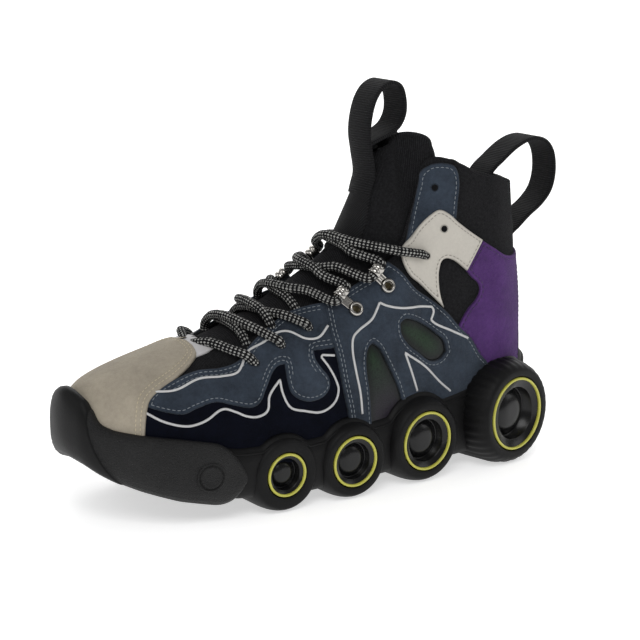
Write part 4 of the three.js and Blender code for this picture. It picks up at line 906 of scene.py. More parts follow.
# outline, CAD node, finish, slot, top, underside, edge, spacing, more of addSheet's values
sidePanels = [
    ("rand", "rand_panel", "navy", "navy_suede", "rand", .1, cutEdge(.7), 2.2, {}),
    ("vamp", "vamp_panel", "blue", "blue_suede", "vamp", .3, cutEdge(.9, (1.9, 3.9)), 2.0,
     {"insets": (.3, .7, 1.2, 1.9, 2.6, 3.3, 3.9, 4.5)}),
    ("counter", "heel_counter", "purple", "purple_suede", "counter", .1, cutEdge(.9, (2.0,)), 2.2,
     {"insets": oneRow}),
    ("collarTab", "collar_tab", "blue", "blue_suede", "collarTab", .1, cutEdge(.9, (2.0,)), 2.0,
     {"insets": oneRow}),
    ("quarter", "quarter_panel", "blue", "blue_suede", "quarter", .3, cutEdge(1.0, (2.2, 4.4)), 2.0,
     {"insets": twoRows, "holes": ("frontWindow", "rearWindow")}),
    ("wing", "ankle_wing", "bone", "bone_leather", "wing", 1.2, cutEdge(1.1, (1.8,), .18), 1.8,
     {"insets": (.3, .7, 1.2, 1.8, 2.4, 3.0)}),
    ("frontWindow", "front_window", "film", "green_film", "window", .1, cutEdge(.4), 2.2, {}),
    ("rearWindow", "rear_window", "film", "green_film", "window", .1, cutEdge(.4), 2.2, {}),
]
for side in both:
    for outline, node, finish, slot, level, under, edge, spacing, more in sidePanels:
        name = f"{outline}_{words[side]}"
        panel = addSheet(name, outline, (side,), lifts[level], under, edge, spacing, **more)
        finishPiece(panel, finishes[finish], [f"{node}_{words[side]}"])
print("panels made")

# padded tongue and collar lining
padding = {"tongueTop": -2.3, "tongueUnder": -9.3, "liningTop": -2.3, "liningUnder": -8.3, "tongueRound": 3.4,
           "liningRound": 3.0, "fill": .7, "bandRise": 1.3, "bandDepth": 2.5}
outlines["lining"] = [(.262, .842), (.235, .828), (.207, .808), (.167, .791), (.110, .771), (.040, .766),
                      (-.1, .766), (-.1, .560), (.000, .560), (.235, .610), (.262, .700), (.272, .800),
                      (.270, .834)]
tongue = addSheet("tonguePad", "tongue", both, padding["tongueTop"], padding["tongueUnder"],
                  roundOver(padding["tongueRound"]), 2.0, (.3, .8, 1.5, 2.4, 3.4),
                  swap=roundUnder(padding["tongueRound"]))
finishPiece(tongue, finishes["tongueKnit"], ["tongue"])
lining = addSheet("collarLining", "lining", both, padding["liningTop"], padding["liningUnder"],
                  roundOver(padding["liningRound"]), 2.2, (.3, .8, 1.5, 2.2, 3.0),
                  swap=roundUnder(padding["liningRound"]))
finishPiece(lining, finishes["lining"], ["collar_lining"])

band = addSheet("tongueBand", "band", both, padding["tongueTop"] + padding["bandRise"],
                padding["tongueTop"] - padding["bandDepth"], roundOver(1.2), 2.0, (.3, .8, 1.2))
finishPiece(band, finishes["band"])

# insole, dished between the walls
insoleSizes = {"gap": .3, "thickness": 4.5, "side": 2.6, "across": 14, "along": 90, "end": .15, "rise": .06,
               "dish": 1.5}
long = insoleSizes["along"]
insoleT = np.linspace(insoleSizes["end"], last["ribs"] - insoleSizes["end"], long)
rises, insets = np.full(long, insoleSizes["rise"]), np.full(long, -insoleSizes["side"])
leftEdge, rightEdge = (onNet(insoleT, rises, side, insets) for side in both)
floorZ = basePoint(insoleT, 1)[:, 2]
across = np.linspace(0, 1, insoleSizes["across"] + 1)
topNet = leftEdge[:, None] * (1 - across[None, :, None]) + rightEdge[:, None] * across[None, :, None]
topNet[..., 2] = floorZ[:, None] + insoleSizes["gap"] + insoleSizes["thickness"]
topNet[..., 2] += insoleSizes["dish"] * (2 * across - 1)[None]**4
underNet = topNet.copy()
underNet[..., 2] = floorZ[:, None] + insoleSizes["gap"]
width = insoleSizes["across"] + 1


# the faces of a net of rows and columns
def netFaces(rows, columns, closeRows=False, closeColumns=False, first=0):
    faces = []
    for i in range(rows if closeRows else rows - 1):
        for j in range(columns if closeColumns else columns - 1):
            here, after = first + i * columns, first + (i + 1) % rows * columns
            beside = (j + 1) % columns
            faces.append((here + j, here + beside, after + beside, after + j))
    return faces


below = long * width
insoleFaces = netFaces(long, width) + [face[::-1] for face in netFaces(long, width, first=below)]
border = [(0, j) for j in range(width)] + [(i, width - 1) for i in range(1, long)]
border += [(long - 1, j) for j in range(width - 2, -1, -1)] + [(i, 0) for i in range(long - 2, 0, -1)]
for (i, j), (k, m) in zip(border, border[1:] + border[:1]):
    insoleFaces.append((i * width + j, below + i * width + j, below + k * width + m, k * width + m))
topPoints, underPoints = topNet.reshape(-1, 3), underNet.reshape(-1, 3)
insole = addMesh("insoleBoard", np.concatenate([topPoints, underPoints]), insoleFaces,
                 np.concatenate([topPoints[:, :2]] * 2) / 100, recalc=True)
finishPiece(insole, finishes["lining"], ["insole"])
print("padding made")

# sole
soleSizes = {"flange": 5.2, "guardFlange": 8, "radius": 29.6, "shoulder": 14, "sunk": .6, "ringWidth": 1.5,
             "ringDepth": 1.6, "hubShare": .71, "guardRear": .752, "guardEnd": .47, "guardMiddle": .70,
             "creaseTop": 14.75, "creaseLow": 13.8, "creaseWide": .04, "wrapProud": .9, "lip": 1.2,
             "lipRise": 12, "beadRadius": .7, "beadEnd": .77, "beadRow": 8, "button": 5.9, "buttonAt": .812,
             "behindRoller": 11, "recess": .80, "stations": 240, "easing": 6}
soleRows = {
    "u": [-.1, 0, .04, .08, .27, .45, .62, .76, .87, .93, .965, .985, .998, 1.008],
    "under": [.80, .80, .40, .19, .17, .17, .17, .26, .46, .62, .74, .84, .92, .98],
    "web": [1.60, 1.60, 1.58, 1.45, 1.19, 1.02, .95, 1.0, 1.18, 1.24, 1.29, 1.36, 1.60, 1.70],
    "guard": [1, 1, 1, 1, 1, 1, 1.02, 1.06, 1.23, 1.30, 1.35, 1.43, 1.74, 1.86],
    "guardUnder": [.19, .19, .19, .19, .19, .19, .19, .17, .35, .51, .63, .73, .81, .87],
}
# place along the shoe, radius, reach of each side, ring and hub, the sole's arch over it, toe-out, teeth
rollers = [
    {"u": .668, "radius": .710, 1: 1.12, -1: 1.12, "ring": .56, "hub": 4.5,
     "hood": .5, "turn": 0, "teeth": 0},
    {"u": .527, "radius": .723, 1: 1.15, -1: 1.04, "ring": .65, "hub": 4.0,
     "hood": 1.5, "turn": 0, "teeth": 0},
    {"u": .363, "radius": .815, 1: 1.11, -1: .95, "ring": .68, "hub": 5.5,
     "hood": 2.5, "turn": 3, "teeth": 0},
    {"u": .154, "radius": 1.0, 1: 1.11, -1: 1.06, "ring": .70, "hub": 7.0,
     "hood": 2.5, "turn": 11, "teeth": .45},
]
# millimetres in from the flange and share of the wall's height
wallRings = [(9, 0), (5, .035), (2.5, .12), (.9, .24), (0, .38), (0, .56), (0, .74), (.5, .83), (1.3, .90),
             (2.4, .95), (3.6, .98), (5.0, 1.0)]


# heights along the sole, eased between their marks
def soleHeight(column, u):
    marks, values = np.array(soleRows["u"]), np.array(soleRows[column])
    fine = np.linspace(marks[0], marks[-1], 400)
    level = np.interp(fine, marks, values)
    for step in range(soleSizes["easing"]):
        level[1:-1] = .25 * level[:-2] + .5 * level[1:-1] + .25 * level[2:]
    return np.interp(u / last["length"], fine, level) * last["sole"]


# the rim arches over each roller
def rimHeight(u):
    height = soleHeight("web", u)
    for roller in rollers:
        radius = roller["radius"] * soleSizes["radius"]
        reach = radius + roller["hood"]
        away = np.minimum(abs(u - roller["u"] * last["length"]), reach)
        arch = radius - soleSizes["sunk"] + np.sqrt(reach**2 - away**2)
        height = np.maximum(height, np.where(away < reach, arch, 0))
    return height


# the foot line once round the shoe, and the way out from it
def perimeter(count):
    t = np.linspace(0, last["ribs"], count + 1)
    stations = [(value, 1) for value in t] + [(value, -1) for value in t[-2:0:-1]]
    feet = np.array([basePoint(np.array([value]), side)[0] for value, side in stations])
    outs = np.array([baseNormal(np.array([value]), side)[0] for value, side in stations])
    return feet, outs


feet, outs = perimeter(soleSizes["stations"])
edge = feet + outs * soleSizes["flange"]
under, top = soleHeight("under", edge[:, 0]), rimHeight(edge[:, 0])
rows = []
for inset, part in wallRings:
    ring = edge - outs * inset
    ring[:, 2] = under + (top - under) * part
    rows.append(ring)
lip = edge - outs * (soleSizes["flange"] + soleSizes["lip"])
lip[:, 2] = np.minimum(top - .6, feet[:, 2] + soleSizes["lipRise"])
rows.append(lip)
inner = lip.copy()
inner[:, 2] = feet[:, 2] - 1.5
rows.append(inner)
wall = np.array(rows)
for roller in rollers:
    radius = roller["radius"] * soleSizes["radius"]
    off = np.hypot(wall[..., 0] - roller["u"] * last["length"], wall[..., 2] - radius + soleSizes["sunk"])
    behind = (off < soleSizes["recess"] * radius)[..., None]
    behind[len(wallRings):] = False
    wall = np.where(behind, wall - soleSizes["behindRoller"] * outs[None], wall)
count = wall.shape[1]
wallFaces = netFaces(len(rows), count, closeColumns=True)
stations = count // 2
lid = (len(rows) - 1) * count
for k in range(stations):
    a, b, c, d = k, k + 1, (count - k - 1) % count, (count - k) % count
    quad = list(dict.fromkeys([a, b, c, d] if k else [a, b, c]))
    wallFaces.append(tuple(quad))
    wallFaces.append(tuple(lid + v for v in quad[::-1]))
soleWall = addMesh("soleWall", wall.reshape(-1, 3), wallFaces, recalc=True)
finishPiece(soleWall, finishes["rubber"], ["sole"])

# toe guard: a smooth wrap round the toe, and behind its crease a grained block with a rounded end
guardMiddle, guardRadius = soleSizes["guardMiddle"] * last["sole"], soleSizes["guardEnd"] * last["sole"]
rear = soleSizes["guardRear"] * last["length"]
guardRings = [(7.5, 0), (4, .03), (2, .1), (.8, .2), (.15, .32), (0, .46), (0, .6), (.2, .72), (.7, .82),
              (1.5, .91), (2.7, .97), (4.2, 1), (6.5, 1.0), (9, .9), (9, .1)]


# ribs from the guard's rounded end to the tip, closer at the end
def guardStations(side):
    reach = (basePoint(netT, side) + baseNormal(netT, side) * soleSizes["guardFlange"])[:, 0]
    start = np.interp(rear + .02, reach[netT > 8], netT[netT > 8])
    return start + (last["ribs"] - start) * np.linspace(0, 1, 300)**1.5


def guardRing(inset, part, side, marks):
    top = soleSizes["creaseTop"]
    slide = (top - soleSizes["creaseLow"]) * (1 - part)**2
    ahead = (last["ribs"] - marks) / (last["ribs"] - top)
    fade = np.where(marks > top, ahead, np.clip(1 - (top - marks) / 3, 0, 1))
    t = marks - slide * fade
    wrap = np.clip((marks - top) / soleSizes["creaseWide"], 0, 1)
    feet, outs = basePoint(t, side), baseNormal(t, side)
    edge = feet + outs * soleSizes["guardFlange"]
    low, high = soleHeight("guardUnder", edge[:, 0]), soleHeight("guard", edge[:, 0])
    away = np.clip(rear + guardRadius - edge[:, 0], 0, guardRadius) / guardRadius
    middle, tall = .5 * (low + high), .5 * (high - low) * np.sqrt(1 - away**2)
    low, high = middle - tall, middle + tall
    narrow = np.clip(tall / 6, .05, 1) if inset < 7 else 1
    shift = inset * narrow - (soleSizes["wrapProud"] * wrap if inset < 7 else 0)
    ring = edge - outs * np.broadcast_to(shift, t.shape)[:, None]
    ring[:, 2] = low + (high - low) * part
    return ring


stationsOf = {side: guardStations(side) for side in both}
wrapped = np.concatenate([stationsOf[1], stationsOf[-1][-2::-1]]) > soleSizes["creaseTop"] + .02
guard = []
for inset, part in guardRings:
    outer, inner = (guardRing(inset, part, side, stationsOf[side]) for side in both)
    guard.append(np.concatenate([outer, inner[-2::-1]]))
guard = np.array(guard)
columns = guard.shape[1]
guardFaces = netFaces(len(guard), columns, closeRows=True)
guardEnds = [tuple(r * columns for r in range(len(guard))),
             tuple(r * columns + columns - 1 for r in range(len(guard) - 1, -1, -1))]
toeGuard = addMesh("toeGuard", guard.reshape(-1, 3), guardFaces + guardEnds, recalc=True)
finishPiece(toeGuard, finishes["rubber"])
toeGuard.data.materials.append(finishes["rubberGrain"])
for face in toeGuard.data.polygons:
    face.material_index = int(not any(wrapped[v % columns] for v in face.vertices))


# turned forms: a profile of radius, height along the axis and share of the wave
def turned(name, profile, steps, place, axis, wave=None, floor=False):
    axis = unit(np.array(axis, float))
    up = np.array([0, 0, 1.0])
    first = unit(up - axis * (up @ axis))
    second = np.cross(axis, first)
    profile = np.array(profile, float)
    angles = np.arange(steps) * 2 * math.pi / steps
    ring = np.cos(angles)[:, None] * first + np.sin(angles)[:, None] * second
    radius = np.repeat(profile[:, :1], steps, 1)
    if wave is not None:
        radius = radius + wave(angles)[None] * profile[:, 2:3]
    points = place + radius[..., None] * ring[None] + profile[:, 1, None, None] * axis
    points = points.reshape(-1, 3)
    if floor:
        points[:, 2] = np.maximum(points[:, 2], 0)
    faces = netFaces(len(profile), steps, closeColumns=True)
    angle = np.tile(angles, len(profile))
    where = np.stack([angle, np.repeat(profile[:, 1], steps) / 100], -1)
    return addMesh(name, points, faces, where, merge=.004, recalc=True)


# square teeth round a roller's tread
def treadWave(height, count=36):
    return lambda angles: height * np.clip(3 * np.sin(angles * count), -1, 1)


# a roller's radius, the reach of its face, the middle of that face and its axle
def rollerFrame(roller, side):
    radius = roller["radius"] * soleSizes["radius"]
    face = roller[side] * last["halfWidth"]
    angle = math.radians(roller["turn"])
    place = np.array([roller["u"] * last["length"], side * face, radius - soleSizes["sunk"]])
    return radius, face, place, (-math.sin(angle), side * math.cos(angle), 0)


# the recessed hub has its own finish
def paintHub(body, place, axis, seat):
    body.data.materials.append(finishes["hub"])
    worldAxis = np.array([-axis[0], -axis[1], 0])
    away = np.array([tuple(face.center) for face in body.data.polygons]) - toWorld(place)
    deep = away @ worldAxis
    off = np.linalg.norm(away - deep[:, None] * worldAxis, axis=1) * 1000
    for face, inHub in zip(body.data.polygons, (off < seat - .1) & (deep > -.02)):
        face.material_index = int(inHub)


def makeRoller(name, roller, side):
    radius, face, place, axis = rollerFrame(roller, side)
    depth, shoulder = soleSizes["ringDepth"], soleSizes["shoulder"]
    seat = roller["ring"] * radius
    hub, well = soleSizes["hubShare"] * seat, depth + roller["hub"]
    profile = [(0, -face * .8, 0), (radius * .96, -face * .8, 0), (radius, -face * .6, 1),
               (radius, -shoulder, 1)]
    for part in np.linspace(0, 1, 9)[1:]:
        turn = part * math.pi / 2
        rise = shoulder * (math.sin(turn) - 1)
        profile.append((radius * (.83 + .17 * math.cos(turn)), rise, 1 - part))
    profile += [(seat + 1.6, .0, 0), (seat + .9, -.15, 0), (seat + .5, -.5, 0), (seat + .3, -depth, 0),
                (hub + .5, -depth, 0), (hub + .1, -depth - .4, 0), (hub, -well, 0),
                (hub * .93, -well - .3, 0)]
    for part in np.linspace(1, 0, 9)[1:]:
        width = hub * (.12 + .78 * part) if part > 0 else 0
        profile.append((width, -depth - roller["hub"] * (.30 + .68 * part**3), 0))
    body = turned(name, profile, 144, place, axis, treadWave(roller["teeth"]), floor=True)
    finishPiece(body, finishes["rubber"])
    paintHub(body, place, axis, seat)


def makeRing(name, node, roller, side):
    radius, face, place, axis = rollerFrame(roller, side)
    seat, wide, depth = roller["ring"] * radius, soleSizes["ringWidth"], soleSizes["ringDepth"]
    profile = []
    for turn in np.linspace(0, 2 * math.pi, 13)[:-1]:
        across, along = .5 * wide * (math.cos(turn) - 1), (depth - .6) * math.sin(turn)
        profile.append((seat + across, along - .6, 0))
    ring = turned(name, profile + profile[:1], 96, place, axis)
    finishPiece(ring, finishes["ring"], [node])


for side in both:
    for k, roller in enumerate(rollers):
        tail = f"{words[side]}_{k + 1}"
        makeRoller(f"roller_{tail}", roller, side)
        makeRing(f"ring_{tail}", f"roller_ring_{tail}", roller, side)
print("sole made")


# even steps along a smooth line through the points
def alongPath(points, step):
    points = np.asarray(points, float)
    ends = np.concatenate([[2 * points[0] - points[1]], points, [2 * points[-1] - points[-2]]])
    fine = []
    for k in range(len(points) - 1):
        p0, p1, p2, p3 = ends[k:k + 4]
        t1 = np.linalg.norm(p1 - p0)**.5 + 1e-6
        t2 = t1 + np.linalg.norm(p2 - p1)**.5 + 1e-6
        t3 = t2 + np.linalg.norm(p3 - p2)**.5 + 1e-6
        t = np.linspace(t1, t2, 24, endpoint=False)[:, None]
        a1 = (t1 - t) / t1 * p0 + t / t1 * p1
        a2 = (t2 - t) / (t2 - t1) * p1 + (t - t1) / (t2 - t1) * p2
        a3 = (t3 - t) / (t3 - t2) * p2 + (t - t2) / (t3 - t2) * p3
        b1 = (t2 - t) / t2 * a1 + t / t2 * a2
        b2 = (t3 - t) / (t3 - t1) * a2 + (t - t1) / (t3 - t1) * a3
        fine.append((t2 - t) / (t2 - t1) * b1 + (t - t1) / (t2 - t1) * b2)
    fine = np.concatenate(fine + [points[-1:]])
    lengths = np.concatenate([[0], np.cumsum(np.linalg.norm(np.diff(fine, axis=0), axis=1))])
    count = max(2, int(round(lengths[-1] / step)))
    marks = np.linspace(0, lengths[-1], count + 1)
    return np.stack([np.interp(marks, lengths, fine[:, k]) for k in range(3)], -1), marks


# a section carried along each path; relief may change it on the way
def sweep(name, paths, section, step, relief=None):
    allPoints, allFaces, allWhere = [], [], []
    section = np.asarray(section, float)
    around = len(section)
    sizes = np.linalg.norm(np.diff(np.concatenate([section, section[:1]]), axis=0), axis=1)
    girth = np.concatenate([[0], np.cumsum(sizes)])[:-1]
    for path, up in paths:
        line, marks = alongPath(path, step)
        along = unit(np.gradient(line, axis=0))
        normal = np.array(up, float)
        rings = []
        for k in range(len(line)):
            normal = unit(normal - along[k] * (normal @ along[k]))
            side = np.cross(along[k], normal)
            shape = section if relief is None else relief(section, marks[k], girth)
            rings.append(line[k] + shape[:, :1] * side + shape[:, 1:] * normal)
        rings = np.array(rings)
        first = sum(len(p) for p in allPoints)
        allPoints.append(rings.reshape(-1, 3))
        allFaces += netFaces(len(line), around, closeColumns=True, first=first)
        allFaces.append(tuple(first + v for v in range(around - 1, -1, -1)))
        allFaces.append(tuple(first + (len(line) - 1) * around + v for v in range(around)))
        allWhere.append(np.stack(np.broadcast_arrays(marks[:, None], girth[None]), -1).reshape(-1, 2) / 100)
    return addMesh(name, np.concatenate(allPoints), allFaces, np.concatenate(allWhere), recalc=True)


# a place on the upper from its shares in the side view, and the way out
def skinAt(place, side, lift=0.0):
    ts = findOnSkin(share([place]), side)[0]
    here = readNet(skin[side], np.array([ts[0]]), np.array([ts[1]]))[0]
    out = unit(readNet(outward[side], np.array([ts[0]]), np.array([ts[1]])))[0]
    return here + (lift + softness(here)) * out, out


ridgeLine = skin[1][ridgeStart:, -1]
ridgeOut = outward[1][ridgeStart:, -1]


# a place over the ridge at a share of the length (column 0) or the height (column 2)
def ridgeAt(column, value, lift):
    scale = last["length"] if column == 0 else last["shaft"]
    levels = ridgeLine[:, column]
    order = np.argsort(levels)
    place = np.interp(value * scale, levels[order], order)
    low = int(place)
    high = min(low + 1, len(levels) - 1)
    part = place - low
    here = ridgeLine[low] * (1 - part) + ridgeLine[high] * part
    out = ridgeOut[low] * (1 - part) + ridgeOut[high] * part
    out[1] = 0
    return here + lift * unit(out)


laceSizes = {"diameter": cordDiameter, "onSide": 4.5, "onTongue": .4, "inHook": 6.2, "over": 3.6,
             "under": -4.2, "braid": .05, "lay": 2.1, "strands": 16}
hookSizes = {"width": 5.5, "thickness": 1.0, "room": .4, "curl": 1.28, "rivet": 4.2, "rivetTall": 2.6,
             "seat": 2.2}
laceRows = [((.687, .371), .750, False), ((.630, .405), .682, False), ((.570, .439), .633, False),
            ((.500, .506), .580, True), ((.431, .561), .518, True), ((.317, .590), .458, False)]
rivetPlaces = [(.476, .472), (.409, .525)]
barPlaces = [((.687, .371), .4), ((.700, .382), 4.4), ((.722, .396), 4.2), ((.746, .413), 2.6),
             ((.768, .428), -2.0)]


# a hook's rivet, the way to its eye, outward, across, and its reach
def hookFrame(index, side):
    base, out = skinAt(rivetPlaces[index], side)
    eye, ignored = skinAt([row for row in laceRows if row[2]][index][0], side)
    toward = eye - base
    flat = toward - out * (toward @ out)
    x = unit(flat)
    reach = toward @ x
    return base, x, out, np.cross(x, out), reach


def eyePoint(k, side):
    place, cross, hooked = laceRows[k]
    if not hooked:
        return skinAt(place, side, .4)[0]
    base, x, out, z, reach = hookFrame([row[0] for row in laceRows if row[2]].index(place), side)
    return base + reach * x + laceSizes["inHook"] * out


# half of a crossing strand, from its eyelet or hook up to the ridge
def climb(k, side, cross, toToe, rest):
    place, ignored, hooked = laceRows[k]
    points = [eyePoint(k, side)]
    if hooked:
        base, x, out, z, reach = hookFrame([row[0] for row in laceRows if row[2]].index(place), side)
        way = z * np.sign(z[0]) * (1 if toToe else -1)
        points.append(points[0] + way * (.5 * hookSizes["width"] + laceSizes["diameter"] / 2))
    eye = share([place])[0]
    top = ridgeAt(0, cross, 0)
    hidden = not hooked and not toToe
    if hidden:
        points = []
    for part in (.12, .3, .45, .6, .85):
        if (hooked and part < .5) or (hidden and part == .12):
            continue
        spot = (eye * (1 - part) + top[[0, 2]] * part) / (last["length"], last["shaft"])
        x = min(max((part - .45) / .55, 0), 1)
        low = laceSizes["onSide"]
        if hidden:
            x, low = min(max((part - .3) / .45, 0), 1), laceSizes["under"]
        lift = low + (rest - low) * x * x * (3 - 2 * x)
        points.append(skinAt(spot, side, lift)[0])
    points.append(ridgeAt(0, cross, rest))
    return points


lacePaths = []
for side in both:
    bar = [skinAt(place, side, lift)[0] for place, lift in barPlaces]
    lacePaths.append((bar, (0, 0, 1)))
for k in range(1, len(laceRows)):
    for side in both:
        over = laceSizes["onTongue"] + (laceSizes["over"] if (side > 0) == (k % 2 == 0) else 0)
        start = climb(k - 1, side, laceRows[k][1], False, over)
        end = climb(k, -side, laceRows[k][1], True, over)
        lacePaths.append((start + end[::-1][1:], (0, 0, 1)))
circle = np.arange(16) * 2 * math.pi / 16
laceSection = .5 * laceSizes["diameter"] * np.stack([np.cos(circle), np.sin(circle)], -1)


def braid(section, mark, girth):
    turns = girth / laceSizes["diameter"] * laceSizes["strands"]
    return section * (1 + laceSizes["braid"] * np.cos(mark * laceSizes["lay"]) * np.cos(turns))[:, None]


lace = sweep("laceRope", lacePaths, laceSection, .9, braid)
finishPiece(lace, finishes["cord"], ["lace"])

# hooks: a ridged strap that curls over the lace, on a hollow rivet
ridgeSection = [(.12, .25), (.25, .75), (.4, 1.0), (.9, 1.0), (1.0, .4)]
rivetShape = [(0, 0), (1, 0), (1.02, .25), (.98, .55), (.9, .8), (.8, .95), (.7, 1), (.62, .95), (.58, .8),
              (.56, .3), (0, .25)]


def makeStrap(name, base, x, out, reach):
    middle = laceSizes["diameter"] / 2 + hookSizes["room"] + hookSizes["thickness"] / 2
    level = laceSizes["inHook"]
    path = [base + out * (level - middle) - x * 1.0, base + out * (level - middle) + x * (.5 * reach)]
    for turn in np.linspace(-math.pi / 2, (hookSizes["curl"] - .5) * math.pi, 15):
        along, height = reach + middle * math.cos(turn), level + middle * math.sin(turn)
        path.append(base + x * along + out * height)
    width, thickness = hookSizes["width"], hookSizes["thickness"]
    quarter = [(wide * width / 2, tall * thickness / 2) for wide, tall in ridgeSection]
    section = quarter + [(wide, -tall) for wide, tall in quarter[::-1]]
    section += [(-wide, -tall) for wide, tall in quarter] + [(-wide, tall) for wide, tall in quarter[::-1]]
    return sweep(name, [(path, out)], section, .6)


def makeHook(tail, index, side):
    base, x, out, z, reach = hookFrame(index, side)
    strap = makeStrap(f"hook_{tail}", base, x, out, reach)
    r, tall, seat = hookSizes["rivet"], hookSizes["rivetTall"], hookSizes["seat"]
    profile = [(r * wide, seat + tall * up) for wide, up in rivetShape]
    rivet = turned(f"rivet_{tail}", profile, 48, base, out)
    profile = [(0, seat + .2), (r * .57, seat + .2), (r * .55, seat + .4 * tall), (r * .3, seat + .5 * tall),
               (0, seat + .55 * tall)]
    well = turned(f"rivetWell_{tail}", profile, 32, base, out)
    finishPiece(well, finishes["dark"])
    finishPiece(strap, finishes["nickel"], [f"lace_hook_{tail}"])
    finishPiece(rivet, finishes["nickel"])


for side in both:
    for index in range(len(rivetPlaces)):
        makeHook(f"{words[side]}_{index + 1}", index, side)


# stitches, as a thread form set along lines
def makeStitchTree():
    tree = bpy.data.node_groups.new("stitchRow", "GeometryNodeTree")
    tree.interface.new_socket("Geometry", in_out="INPUT", socket_type="NodeSocketGeometry")
    for label, value in (("Spacing", .0026), ("Length", .0019), ("Thickness", .0005)):
        tree.interface.new_socket(label, in_out="INPUT", socket_type="NodeSocketFloat").default_value = value
    tree.interface.new_socket("Thread", in_out="INPUT", socket_type="NodeSocketMaterial")
    tree.interface.new_socket("Geometry", in_out="OUTPUT", socket_type="NodeSocketGeometry")
    start, end = tree.nodes.new("NodeGroupInput"), tree.nodes.new("NodeGroupOutput")
    curve = put(tree, "GeometryNodeMeshToCurve", {"Mesh": start.outputs["Geometry"]})
    evened = put(tree, "GeometryNodeResampleCurve", {"Curve": curve.outputs[0],
                                                     "Length": start.outputs["Spacing"]}, mode="LENGTH")
    spots = put(tree, "GeometryNodeCurveToPoints", {"Curve": evened.outputs[0]}, mode="EVALUATED")
    bead = put(tree, "GeometryNodeMeshUVSphere", {"Segments": 6, "Rings": 4, "Radius": .5})
    thickness = start.outputs["Thickness"]
    size = put(tree, "ShaderNodeCombineXYZ", {"X": thickness, "Y": thickness, "Z": start.outputs["Length"]})
    shaped = put(tree, "GeometryNodeTransform", {"Geometry": bead.outputs["Mesh"], "Scale": size.outputs[0]})
    placed = put(tree, "GeometryNodeInstanceOnPoints", {"Points": spots.outputs["Points"],
                                                        "Instance": shaped.outputs[0],
                                                        "Rotation": spots.outputs["Rotation"]})
    real = put(tree, "GeometryNodeRealizeInstances", {"Geometry": placed.outputs[0]})
    smooth = put(tree, "GeometryNodeSetShadeSmooth", {"Geometry": real.outputs[0]})
    dyed = put(tree, "GeometryNodeSetMaterial", {"Geometry": smooth.outputs[0],
                                                 "Material": start.outputs["Thread"]})
    tree.links.new(dyed.outputs[0], end.inputs[0])
    return tree


stitchTree = makeStitchTree()


def sewRows(name, runs, thread, spacing=2.6, length=1.9, thickness=.5):
    points, edges = [], []
    for run in runs:
        first = len(points)
        points.extend(run)
        edges.extend((first + k, first + k + 1) for k in range(len(run) - 1))
    mesh = bpy.data.meshes.new(name + "Line")
    mesh.from_pydata([tuple(p) for p in toWorld(points)], edges, [])
    guide = bpy.data.objects.new(name + "Line", mesh)
    bpy.context.collection.objects.link(guide)
    modifier = guide.modifiers.new("stitches", "NODES")
    modifier.node_group = stitchTree
    inputs = [item for item in stitchTree.interface.items_tree if item.in_out == "INPUT"]
    sockets = {item.name: item.identifier for item in inputs}
    for label, value in (("Spacing", spacing), ("Length", length), ("Thickness", thickness)):
        modifier[sockets[label]] = value / 1000
    modifier[sockets["Thread"]] = finishes[thread]
    bpy.context.view_layer.update()
    sewn = bpy.data.meshes.new_from_object(guide.evaluated_get(bpy.context.evaluated_depsgraph_get()))
    bpy.data.objects.remove(guide)
    piece = bpy.data.objects.new(name, sewn)
    bpy.context.collection.objects.link(piece)
    return finishPiece(piece, finishes[thread])


# the runs of a stitch line that lies a distance inside a panel's cut edge
def rowsInside(outline, side, top, inset, keep=None, inward=1):
    ring = outlineOnSkin(outlines[outline], side, top)
    flat = toFlat(ring, side)
    free = freeEdges(ring)
    starts, ends = flat[free], np.roll(flat, -1, 0)[free]
    moved, good = insetRuns(flat, inset, starts, ends, inward)
    onSkin = fromFlat(moved, side)
    good &= free & np.roll(free, 1) & (onSkin[:, 1] > .01)
    places = onNet(onSkin[:, 0], onSkin[:, 1], side, np.full(len(moved), top + .02))
    if keep is not None:
        good &= np.array([keep(u / last["length"], z / last["shaft"]) for u, v, z in places])
    runs, run = [], []
    first = int(np.argmin(good)) if not good.all() else 0
    for k in range(len(good) + int(good.all())):
        place = (first + k) % len(good)
        if good[place]:
            run.append(places[place])
        else:
            runs.append(run)
            run = []
    return [run for run in runs + [run] if len(run) > 2]


tanRows, blueRows, purpleRows, boneRows = [], [], [], []
for side in both:
    for inset in (2.2, 4.2):
        tanRows += rowsInside("toeCap", side, lifts["toeCap"], inset)
        blueRows += rowsInside("quarter", side, lifts["quarter"], inset, lambda u, z: u > .44)
    blueRows += rowsInside("quarter", side, lifts["quarter"], 2.2, lambda u, z: u <= .44)
    blueRows += rowsInside("vamp", side, lifts["vamp"], 1.9, lambda u, z: u > .54)
    blueRows += rowsInside("vamp", side, lifts["vamp"], 3.9, lambda u, z: u > .54 and z > .34)
    for pane in ("frontWindow", "rearWindow"):
        blueRows += rowsInside(pane, side, lifts["quarter"], 2.3, inward=-1)
    blueRows += rowsInside("collarTab", side, lifts["collarTab"], 2.2, lambda u, z: z > .62)
    purpleRows += rowsInside("counter", side, lifts["counter"], 2.2)
    boneRows += rowsInside("wing", side, lifts["wing"], 1.8)
sewRows("stitches_toe", tanRows, "tan", 2.3, 1.6, .45)
sewRows("stitches_blue", blueRows, "blueThread", 2.7, 2.0, .5)
sewRows("stitches_counter", purpleRows, "purpleThread", 2.7, 2.0, .5)
sewRows("stitches_wing", boneRows, "boneThread", 2.3, 1.7, .4)

